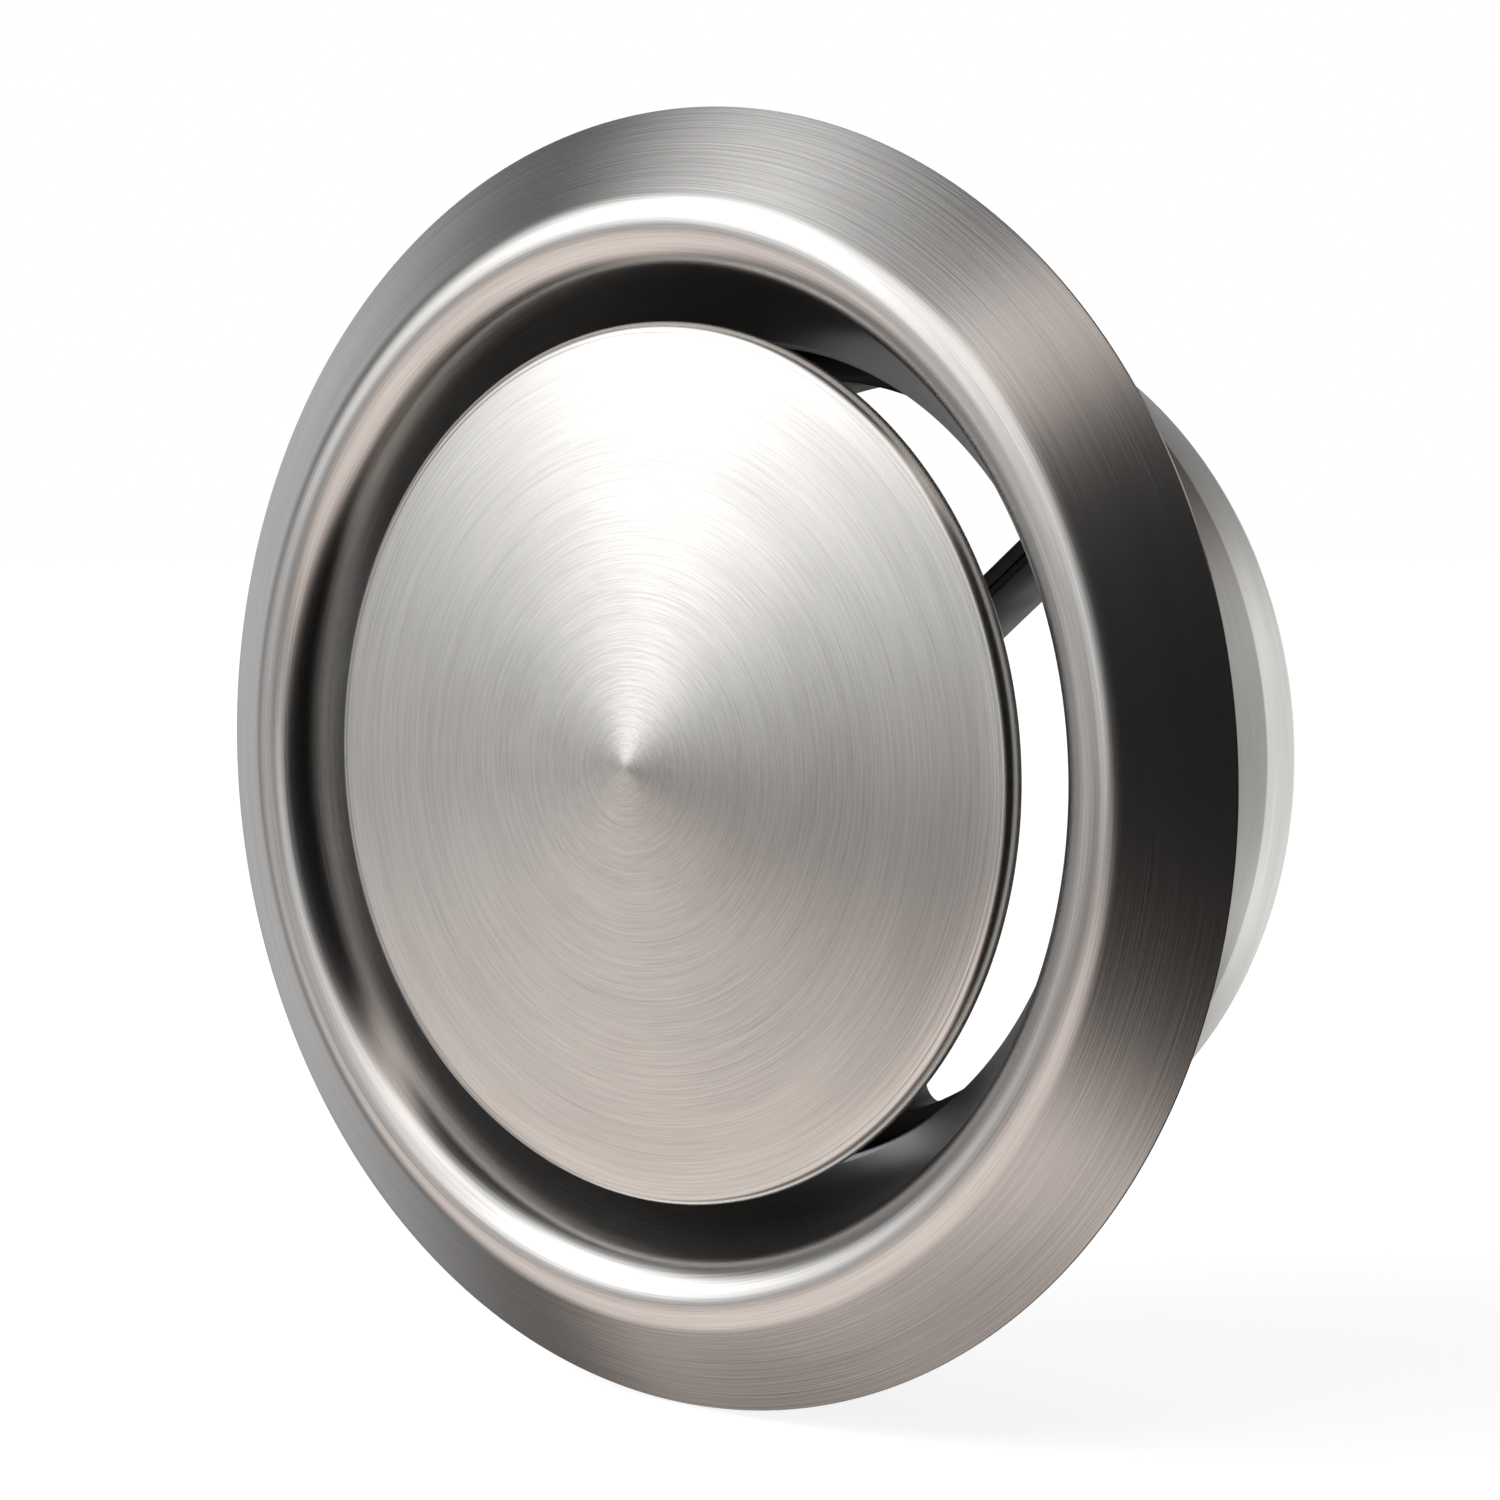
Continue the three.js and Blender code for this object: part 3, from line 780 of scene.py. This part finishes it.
pilots = [at_node(rod(SCREW_HOLE, spider_rear - PILOT_DEPTH, spider_rear + 1), node) for node in SCREWS]
insert_hole = rod(INSERT_HOLE, hub_front - 1, hub_rear + 1, 96)
moulding = combined(
    "spider_moulding",
    wheel,
    joined=[lower_rim, hub, *[ridge(angle) for angle in arm_angles], *[boss(node) for node in SCREWS]],
    cut=[insert_hole, *pilots],
)


def glass_filled_nylon(name):
    """Moulded black PA6 with glass: a dull sheen, a fine pebble from the mould, and its sharp edges painted
    paler as a painted highlight.
    """
    material, tree, shader = start_material(name, 0.0, IOR=1.53, Specular_IOR_Level=0.5)
    place = add(tree, "TexCoord").outputs["Object"]
    # The mould's spark-eroded pebble is 0.1 mm across, drawn at 0.25 mm so that it shows.
    pebble = add(tree, "TexNoise", Vector=place, Scale=4000.0, Detail=2.0)
    swirl = {"Scale": 60.0, "Detail": 3.0, "Distortion": 1.5}
    flow = add(tree, "TexNoise", Vector=place, **swirl)
    # Sharp edges are painted a paler grey: a painted highlight standing in for the light that the edges
    # catch.
    edge_pointiness = add(tree, "NewGeometry").outputs["Pointiness"]
    edges = add(tree, "MapRange", Value=edge_pointiness, From_Min=0.52, From_Max=0.62)
    body = mixed(tree, spread(tree, flow), "#151517", "#222225")
    rub_marks_and_edge_highlight = {"in0": edges, "in6": body, "in7": linear("#3a3a3d")}
    feed(
        tree, shader,
        Base_Color=add(tree, "Mix", {"data_type": "RGBA"}, **rub_marks_and_edge_highlight).outputs[2],
        Roughness=spread(tree, flow, 0.42, 0.56),
        Normal=add(tree, "Bump", Strength=0.25, Distance=0.05 * MM, Height=pebble),
    )
    return material


dressed(moulding, glass_filled_nylon("glass_filled_nylon"), "housing", "black_nylon", "spider")
print("the spider has", len(moulding.data.polygons), "faces")

# %% [markdown]
# ## The spindle
# A set screw with an M6 thread runs from the disc back through the hub, and turning the disc winds it in or
# out. The thread is a true helix: the rows of the mesh climb one pitch a turn, so the last column of one turn
# is the first of the next. Its depth swings between crest and root, and both ends taper to a small chamfer.

# %% Threads
THREAD_STEPS = 40
ROWS_PER_PITCH = 6
THREAD_SHAPE = (0.0, 0.15, 0.6, 1.0, 1.0, 0.55)
THREAD_LEAD = 1.5
END_SHARE = 0.98


def threaded(name, front, rear, radius, root, pitch):
    """A threaded rod: a helical grid of points, held between its two ends and closed with flat faces."""
    shape = bmesh.new()
    taper = radius - root
    turns = math.ceil((rear - front) / pitch) + 2

    def point(row, column):
        depth = front + pitch * (row / ROWS_PER_PITCH + column / THREAD_STEPS - THREAD_LEAD)
        depth = min(max(depth, front), rear)
        reach = root + taper * THREAD_SHAPE[row % ROWS_PER_PITCH]
        reach = min(reach, root * END_SHARE + (depth - front), root * END_SHARE + (rear - depth))
        angle = math.tau * column / THREAD_STEPS
        return reach * math.cos(angle) * MM, depth * MM, reach * math.sin(angle) * MM

    grid = [[shape.verts.new(point(row, column)) for column in range(THREAD_STEPS + 1)]
            for row in range((turns + 1) * ROWS_PER_PITCH)]
    for upper, lower in zip(grid, grid[1:]):
        for column in range(THREAD_STEPS):
            shape.faces.new((upper[column], upper[column + 1], lower[column + 1], lower[column]))
    bmesh.ops.remove_doubles(shape, verts=shape.verts, dist=2e-7)
    bmesh.ops.dissolve_degenerate(shape, edges=shape.edges, dist=1e-8)
    open_edges = [edge for edge in shape.edges if edge.is_boundary]
    bmesh.ops.holes_fill(shape, edges=open_edges)
    return finished(name, shape)


def is_closed(piece):
    """Whether every edge of a piece lies between exactly two faces."""
    shape = bmesh.new()
    shape.from_mesh(piece.data)
    closed = all(edge.is_manifold for edge in shape.edges)
    shape.free()
    return closed


# %% [markdown]
# ## Hexagons
# Cold-formed heads and nuts are hexagons whose corners are cut back by a 30 degree cone. The hexagon is made
# from its six corners and is then kept only where it lies inside a turned cone.

# %% Heads and nuts
HEX_FLATS = 10.0
HEX_CHAMFER = 30.0
HEX_FACE = 0.97
OVERRUN = 1.0
NUT_PLAY = 0.2
COUNTERSINK = 0.35
THROUGH = 0.1
M6_RADIUS, M6_ROOT, M6_PITCH = 3.0, 2.45, 1.0
M3_RADIUS, M3_ROOT, M3_PITCH = 1.5, 1.2, 0.5
HEAD_HEIGHT = 4.0


def hexagon(front, rear, cut_rear=True):
    """A hexagon about the axis, and the turned shape that cuts its corners back at the front or both ends."""
    corner = HEX_FLATS / math.sqrt(3)
    outline = [polar(corner, 60 * i) for i in range(6)]
    prism = extruded("prism", [outline], front, rear)
    flat = HEX_FLATS / 2 * HEX_FACE
    wide = corner + OVERRUN
    drop = (wide - flat) * math.tan(math.radians(HEX_CHAMFER))
    section = [(0, front), (flat, front), (wide, front + drop)]
    if cut_rear:
        section += [(wide, rear - drop), (flat, rear), (0, rear)]
    else:
        section += [(wide, rear + OVERRUN), (0, rear + OVERRUN)]
    return prism, turned("cone", section, 144)


def nut(name, node, finish, body):
    """A hexagon nut, with a countersink at each end of its bore."""
    inner, _, front, rear = turned_size(node)
    bore = min(inner, M6_RADIUS + NUT_PLAY)
    prism, cone = hexagon(front, rear)
    sink = bore + COUNTERSINK
    hole = turned("hole", [
        (0, front - THROUGH),
        (sink, front - THROUGH),
        (bore, front + COUNTERSINK),
        (bore, rear - COUNTERSINK),
        (sink, rear + THROUGH),
        (0, rear + THROUGH),
    ], 72)
    piece = combined(name, prism, cut=[hole], kept=[cone])
    return dressed(piece, finish, body, "zinc_steel", node)


def plated_zinc(name):
    """Bright zinc plate on steel: a cool soft shine, clouded by the bath and dulled by handling."""
    material, tree, shader = start_material(name, 1.0)
    place = add(tree, "TexCoord").outputs["Object"]
    cloud = add(tree, "TexNoise", Vector=place, Scale=350.0, Detail=4.0)
    # The plating's grain is some 0.05 mm, drawn at 0.15 mm.
    grain = add(tree, "TexNoise", Vector=place, Scale=6500.0, Detail=2.0)
    feed(
        tree, shader,
        Base_Color=mixed(tree, spread(tree, cloud), "#a3a7ad", "#c9ccd0"),
        Roughness=spread(tree, cloud, 0.34, 0.22),
        Normal=add(tree, "Bump", Strength=0.2, Distance=0.03 * MM, Height=grain),
    )
    return material


zinc = plated_zinc("zinc_plated_steel")
_, _, head_front, spindle_rear = turned_size("spindle")
prism, cone = hexagon(head_front, head_front + HEAD_HEIGHT, cut_rear=False)
bolt = threaded("thread", head_front + 1, spindle_rear, M6_RADIUS, M6_ROOT, M6_PITCH)
print("the thread is closed:", is_closed(bolt))
head = combined("head", prism, kept=[cone])
spindle = combined("threaded_spindle", bolt, joined=[head])
dressed(spindle, zinc, "disc_assembly", "zinc_steel", "spindle")
nut("disc_nut_hex", "disc_nut", zinc, "disc_assembly")
nut("end_nut_hex", "end_stop_nut", zinc, "disc_assembly")
nut("lock_nut_hex", "lock_nut", zinc, "lock_ring")

# %% [markdown]
# ## Washers
# A flat washer's edges are eased a little. The spring washer is one turn of square wire cut through and
# twisted, so its two ends stand apart. The stop washer is white nylon, between the disc's nut and the lock.

# %% Washers
WASHER_EDGE = 0.2
NYLON_EDGE = 0.3
SPRING_RISE = 0.35
SPRING_TURN = 346
SPRING_STEPS = 72
SPRING_CORNER = 0.15


def plain_washer(name, node, finish, body, slot, edge=WASHER_EDGE):
    """A flat washer with its four edges eased."""
    inner, outer, front, rear = turned_size(node)
    section = rounded([(inner, front), (outer, front), (outer, rear), (inner, rear)], edge, 3)
    return dressed(turned(name, section, 96), finish, body, slot, node)


def spring_washer(name, node, finish, body):
    """Square wire swept through most of a turn while it climbs, with flat cut ends."""
    inner, outer, front, rear = turned_size(node)
    height = rear - front - SPRING_RISE
    section = rounded([(inner, 0), (outer, 0), (outer, height), (inner, height)], SPRING_CORNER, 2)
    shape = bmesh.new()
    rings = []
    for step in range(SPRING_STEPS + 1):
        share = step / SPRING_STEPS
        angle = math.radians((360 - SPRING_TURN) / 2 + SPRING_TURN * share)
        lift = front + SPRING_RISE * share
        points = [(r * math.cos(angle), d + lift, r * math.sin(angle)) for r, d in section]
        rings.append([shape.verts.new(Vector(point) * MM) for point in points])
    for ring, following in zip(rings, rings[1:]):
        for i in range(len(section)):
            j = (i + 1) % len(section)
            shape.faces.new((ring[i], ring[j], following[j], following[i]))
    shape.faces.new(rings[0])
    shape.faces.new(rings[-1])
    return dressed(finished(name, shape), finish, body, "zinc_steel", node)


def moulded_nylon(name):
    """Natural white PA6: slightly warm, smooth and a little see-through at its edges."""
    material, tree, shader = start_material(name, 0.0, IOR=1.53, Subsurface_Weight=0.15)
    feed(tree, shader, Subsurface_Radius=(0.6 * MM, 0.55 * MM, 0.45 * MM), Subsurface_Scale=1.0)
    place = add(tree, "TexCoord").outputs["Object"]
    flow = add(tree, "TexNoise", Vector=place, Scale=300.0, Detail=3.0)
    colour = mixed(tree, spread(tree, flow), "#dedbd0", "#edebe2")
    feed(tree, shader, Base_Color=colour, Roughness=spread(tree, flow, 0.34, 0.48))
    return material


white = moulded_nylon("white_nylon")
plain_washer("lock_washer_flat", "lock_washer", zinc, "lock_carriage", "zinc_steel")
plain_washer("stop_washer_flat", "stop_washer", white, "disc_carriage", "white_nylon", NYLON_EDGE)
spring_washer("split_spring_washer", "disc_spring_washer", zinc, "disc_assembly")

# %% [markdown]
# ## The screws that hold the spider
# Three M3 pan-head screws go through the sleeve's rear lip into the bosses. Each is turned about its own
# axis first and then moved to its place, with a thread, a domed head and a cross recess cut by two bars.

# %% Screws
RECESS_LONG = 3.2
RECESS_WIDE = 0.75
RECESS_DEEP = 1.1
HEAD_EDGE = 0.9
SCREW_HEAD_HEIGHT = 2.1
SCREW_PLAY = 0.1
SCREW_WASHER_EDGE = 0.12
TIGHT_AT = (12, 71, 38)


def small_size(node):
    """The radius, front and rear of a small round node that stands off the valve's axis, in mm."""
    low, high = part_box(node)
    return (high.x - low.x) / MM / 2, low.y / MM, high.y / MM


def bar(long, wide, front, rear):
    """One of the two crossed bars that cut a screw's recess."""
    outline = [(-long / 2, -wide / 2), (long / 2, -wide / 2), (long / 2, wide / 2), (-long / 2, wide / 2)]
    return extruded("bar", [outline], front, rear)


def screw(name, node, angle):
    """A pan-head screw with a cross recess. Angle is how far it was turned when it came tight."""
    radius, front, rear = small_size(node)
    under = rear - SCREW_HEAD_HEIGHT
    dome = [(radius - HEAD_EDGE * (1 - math.cos(a)), rear - HEAD_EDGE * (1 - math.sin(a)))
            for a in (math.radians(15 * i) for i in range(7))]
    head = turned("head", [(0, under), (radius, under), *dome, (0, rear)], 64)
    shank = threaded("shank", front, under + 0.5, M3_RADIUS, M3_ROOT, M3_PITCH)
    sunk = rear - RECESS_DEEP
    bars = [bar(*size, sunk, rear + 1) for size in ((RECESS_LONG, RECESS_WIDE), (RECESS_WIDE, RECESS_LONG))]
    piece = combined(name, head, joined=[shank], cut=bars)
    piece.data.transform(Matrix.Rotation(math.radians(angle), 4, "Y"))
    return dressed(at_node(piece, node), zinc, "housing", "zinc_steel", node)


def screw_washer(name, node):
    """The flat washer under a screw's head, with its edges eased."""
    outer, front, rear = small_size(node)
    inner = M3_RADIUS + SCREW_PLAY
    corners = [(inner, front), (outer, front), (outer, rear), (inner, rear)]
    piece = turned(name, rounded(corners, SCREW_WASHER_EDGE, 3), 64)
    return dressed(at_node(piece, node), zinc, "housing", "zinc_steel", node)


for number, angle in enumerate(TIGHT_AT, 1):
    screw(f"pan_screw_{number}", f"spider_screw_{number}", angle)
    screw_washer(f"screw_washer_flat_{number}", f"spider_screw_washer_{number}")
print("three screws and their washers are in")

# %% [markdown]
# ## The brass insert
# The thread runs in a turned brass bush pressed into the hub. Its flange has a knurled edge, so that it can't
# turn in the nylon. The knurl is a ring of small teeth in the flange's outline.

# %% Insert
INSERT_RADIUS = 4.5
INSERT_FLANGE = 6.5
FLANGE_HEIGHT = 1.5
KNURLS = 48
KNURL_DEPTH = 0.25


def turned_brass(name):
    """Free-cutting brass as it leaves the lathe: yellow, with fine tool rings round the axis."""
    material, tree, shader = start_material(name, 1.0, Anisotropic=0.5, Anisotropic_Rotation=0.25)
    rings = brush_lines(tree, round_axis(tree), 0.15, 1.0)
    feed(
        tree, shader,
        Base_Color=mixed(tree, spread(tree, rings), "#b08a45", "#d8b566"),
        Roughness=spread(tree, rings, 0.22, 0.34),
        Tangent=add(tree, "Tangent", ROUND_THE_AXIS),
    )
    return material


bore, _, insert_front, insert_rear = turned_size("hub_insert")
flange_front = insert_rear - FLANGE_HEIGHT
barrel = turned("barrel", rounded([
    (bore, insert_front),
    (INSERT_RADIUS, insert_front),
    (INSERT_RADIUS, flange_front + 0.5),
    (bore, flange_front + 0.5),
], 0.25, 2), 96)
teeth = [polar(INSERT_FLANGE - KNURL_DEPTH * (i % 2), 180 / KNURLS * i) for i in range(2 * KNURLS)]
bore_ring = [polar(bore, 360 / 96 * i) for i in range(96)]
knurled = extruded("knurled", [teeth, bore_ring], flange_front, insert_rear)
insert = combined("brass_insert", knurled, joined=[barrel])
dressed(insert, turned_brass("turned_brass"), "housing", "brass", "hub_insert")

# %% [markdown]
# ## The plate behind the disc
# A small dished plate of galvanised sheet is spot-welded to the back of the disc and carries the spindle's
# head. Each weld shows as a shallow round dimple. The zinc has frozen into crystals a few millimetres across,
# which is the look that gives galvanised sheet away.

# %% Back plate
PLATE_SHEET = 1.0
PLATE_SEAT = 6.0
PLATE_DISH = 5.0
WELDS = 6
WELD_CIRCLE = 27.0
WELD_RADIUS = 2.2
WELD_SUNK = 0.35
WELD_ABOVE = 0.6
PLATE_CORNER = 0.8
PLATE_GAP = 0.05
SEAT_GAP = 0.1

plate_bore, plate_radius, _, plate_rear = turned_size("disc_back_plate")
cone_slope = math.tan(math.radians(-cone_lean))
plate_seat = plate_radius - PLATE_SEAT
plate_dish = plate_seat - PLATE_DISH


def behind_cone(radius):
    """The depth of the plate's seat: just clear of the back of the cone."""
    return apex_depth + radius * cone_slope + (DISC_SHEET + PLATE_GAP) / math.cos(math.radians(cone_lean))


fronts = [(r, behind_cone(r) + SEAT_GAP) for r in (plate_radius, plate_seat)]
fronts += [(plate_dish, plate_rear - PLATE_SHEET), (plate_bore, plate_rear - PLATE_SHEET)]
rears = [(radius, depth + PLATE_SHEET) for radius, depth in fronts]
plate = turned("plate", rounded([*fronts, *rears[::-1]], PLATE_CORNER, 4), 144)


def weld(angle):
    """The round electrode mark of one spot weld."""
    x, z = polar(WELD_CIRCLE, angle)
    top = behind_cone(WELD_CIRCLE) + PLATE_SHEET
    bottom, above = top - WELD_SUNK, top + WELD_ABOVE
    cap = turned("cap", [(0, bottom), (WELD_RADIUS * 0.7, bottom), (WELD_RADIUS, above), (0, above)], 40)
    return moved(cap, x, z)


def galvanised_sheet(name):
    """Hot-dip zinc with its spangle: crystals some 4 mm across, each with its own grey and its own gloss."""
    material, tree, shader = start_material(name, 1.0)
    place = add(tree, "TexCoord").outputs["Object"]
    cells = add(tree, "TexVoronoi", Vector=place, Scale=250.0).outputs["Color"]
    crystal = add(tree, "SeparateColor", in0=cells).outputs["Red"]
    frost = add(tree, "TexNoise", Vector=place, Scale=2500.0, Detail=3.0)
    feed(
        tree, shader,
        Base_Color=mixed(tree, crystal, "#9fa3a8", "#c6cace"),
        Roughness=spread(tree, crystal, 0.30, 0.46),
        Normal=add(tree, "Bump", Strength=0.2, Distance=0.04 * MM, Height=frost),
    )
    return material


plate = combined("galvanised_plate", plate, cut=[weld(360 / WELDS * i) for i in range(WELDS)])
dressed(plate, galvanised_sheet("galvanised_sheet"), "disc_assembly", "galvanised_plate", "disc_back_plate")
print("plate sits", round(behind_cone(plate_seat), 2), "mm deep at its seat")

# %% [markdown]
# ## Light
# Brushed metal shows the room it stands in, so the studio is built as a picture all round it: a soft key
# light to the left of the camera, weaker ones low in front, overhead and behind, and darkness between them,
# which gives the steel its black bands. Each light is a soft-edged window in the world, given by where it is,
# how wide and high it looks, and how bright it is. The camera itself sees a plain white backdrop instead.

# %% Soft windows in the world
def direction(azimuth, elevation):
    """A unit vector. Azimuth 0 looks from the room's side (-Y) and 90 from +X, in degrees."""
    a, e = math.radians(azimuth), math.radians(elevation)
    return Vector((math.sin(a) * math.cos(e), -math.cos(a) * math.cos(e), math.sin(e)))


def soft_edge(tree, value, half, softness):
    """1 inside the half-angle and 0 outside, in degrees, with a soft edge."""
    size = add(tree, "Math", "ABSOLUTE", in0=value)
    start, end = math.radians(half - softness / 2), math.radians(half + softness / 2)
    ends = {"From_Min": start, "From_Max": end, "To_Min": 1.0, "To_Max": 0.0}
    return add(tree, "MapRange", {"interpolation_type": "SMOOTHSTEP"}, Value=size, **ends)


def soft_window(tree, looking, azimuth, elevation, width, height, softness, brightness):
    """The light of one soft-edged window as a value. All angles are in degrees."""
    centre = direction(azimuth, elevation)
    right = Vector((math.cos(math.radians(azimuth)), math.sin(math.radians(azimuth)), 0))
    up = centre.cross(right) * -1 if centre.cross(right).z < 0 else centre.cross(right)
    parts = []
    for axis in (right, up, centre):
        dot = add(tree, "VectorMath", "DOT_PRODUCT", in0=looking, in1=tuple(axis))
        parts.append(dot.outputs["Value"])
    across = add(tree, "Math", "ARCTAN2", in0=parts[0], in1=parts[2])
    above = add(tree, "Math", "ARCSINE", in0=parts[1])
    sideways = soft_edge(tree, across, width / 2, softness)
    upwards = soft_edge(tree, above, height / 2, softness)
    inside = add(tree, "Math", "MULTIPLY", in0=sideways, in1=upwards)
    return add(tree, "Math", "MULTIPLY", in0=inside, in1=brightness)


NEUTRAL = "#ffffff"
WARM = "#fff3ec"
COOL = "#f1f5ff"
WINDOWS = {
    # name: azimuth, elevation, width, height, softness, brightness, colour
    "key": (-40, 26, 28, 44, 31, 2.8, NEUTRAL),
    "low front": (-27, -35, 72, 44, 18, 1.0, WARM),
    "beside the camera": (-9, 19, 18, 51, 8, 1.0, NEUTRAL),
    "front left": (-64, -3, 24, 24, 14, 0.35, NEUTRAL),
    "left": (-103, 0, 38, 60, 34, 0.6, NEUTRAL),
    "overhead": (66, 58, 128, 14, 14, 0.7, WARM),
    "straight behind": (180, -6, 56, 46, 20, 2.1, NEUTRAL),
    "left rear": (-140, 30, 50, 60, 40, 0.4, COOL),
    "from the floor": (11, -67, 72, 8, 13, 0.3, WARM),
}
NIGHT = 0.004

world = bpy.data.worlds.new("studio")
bpy.context.scene.world = world
world.use_nodes = True
sky = world.node_tree
sky.nodes.clear()
looking = add(sky, "TexCoord").outputs["Generated"]
light = add(sky, "CombineXYZ", X=NIGHT, Y=NIGHT, Z=NIGHT)
for azimuth, elevation, width, height, softness, brightness, colour in WINDOWS.values():
    pane = soft_window(sky, looking, azimuth, elevation, width, height, softness, brightness)
    shine = add(sky, "VectorMath", "SCALE", in0=linear(colour)[:3], Scale=pane)
    light = add(sky, "VectorMath", "ADD", in0=light, in1=shine)
studio = add(sky, "Background", Color=light, Strength=1.0)
backdrop = add(sky, "Background", Color=linear("#ffffff"), Strength=1.0)
seen = add(sky, "LightPath").outputs["Is Camera Ray"]
both = add(sky, "MixShader", Fac=seen, in1=studio, in2=backdrop)
add(sky, "OutputWorld", Surface=both)
print("the studio has", len(WINDOWS), "windows")

# %% [markdown]
# ## Floor
# A plain white sheet, far larger than the valve, lies under the flange's edge. It gives off some light of its
# own, so that it stays white. The steel doesn't mirror it: the windows already hold the light it would give.

# %% Floor
FLOOR_RADIUS = 9.0
FLOOR_GAP = 0.5
PAPER_GLOW = 0.78

floor_mesh = bpy.data.meshes.new("floor")
floor_shape = bmesh.new()
bmesh.ops.create_circle(floor_shape, cap_ends=True, segments=96, radius=FLOOR_RADIUS)
floor_shape.to_mesh(floor_mesh)
floor_shape.free()
floor = bpy.data.objects.new("floor", floor_mesh)
bpy.context.scene.collection.objects.link(floor)
floor.location.z = cad_box[0].z - FLOOR_GAP * MM
glow = {"Emission_Color": linear("#ffffff"), "Emission_Strength": PAPER_GLOW}
paper, _, _ = start_material("white_paper", 0.0, Roughness=0.9, Base_Color=linear("#f4f3f1"), **glow)
floor_mesh.materials.append(paper)
floor.visible_glossy = False
floor.visible_diffuse = False
print("the floor lies at", round(floor.location.z / MM, 1), "mm")
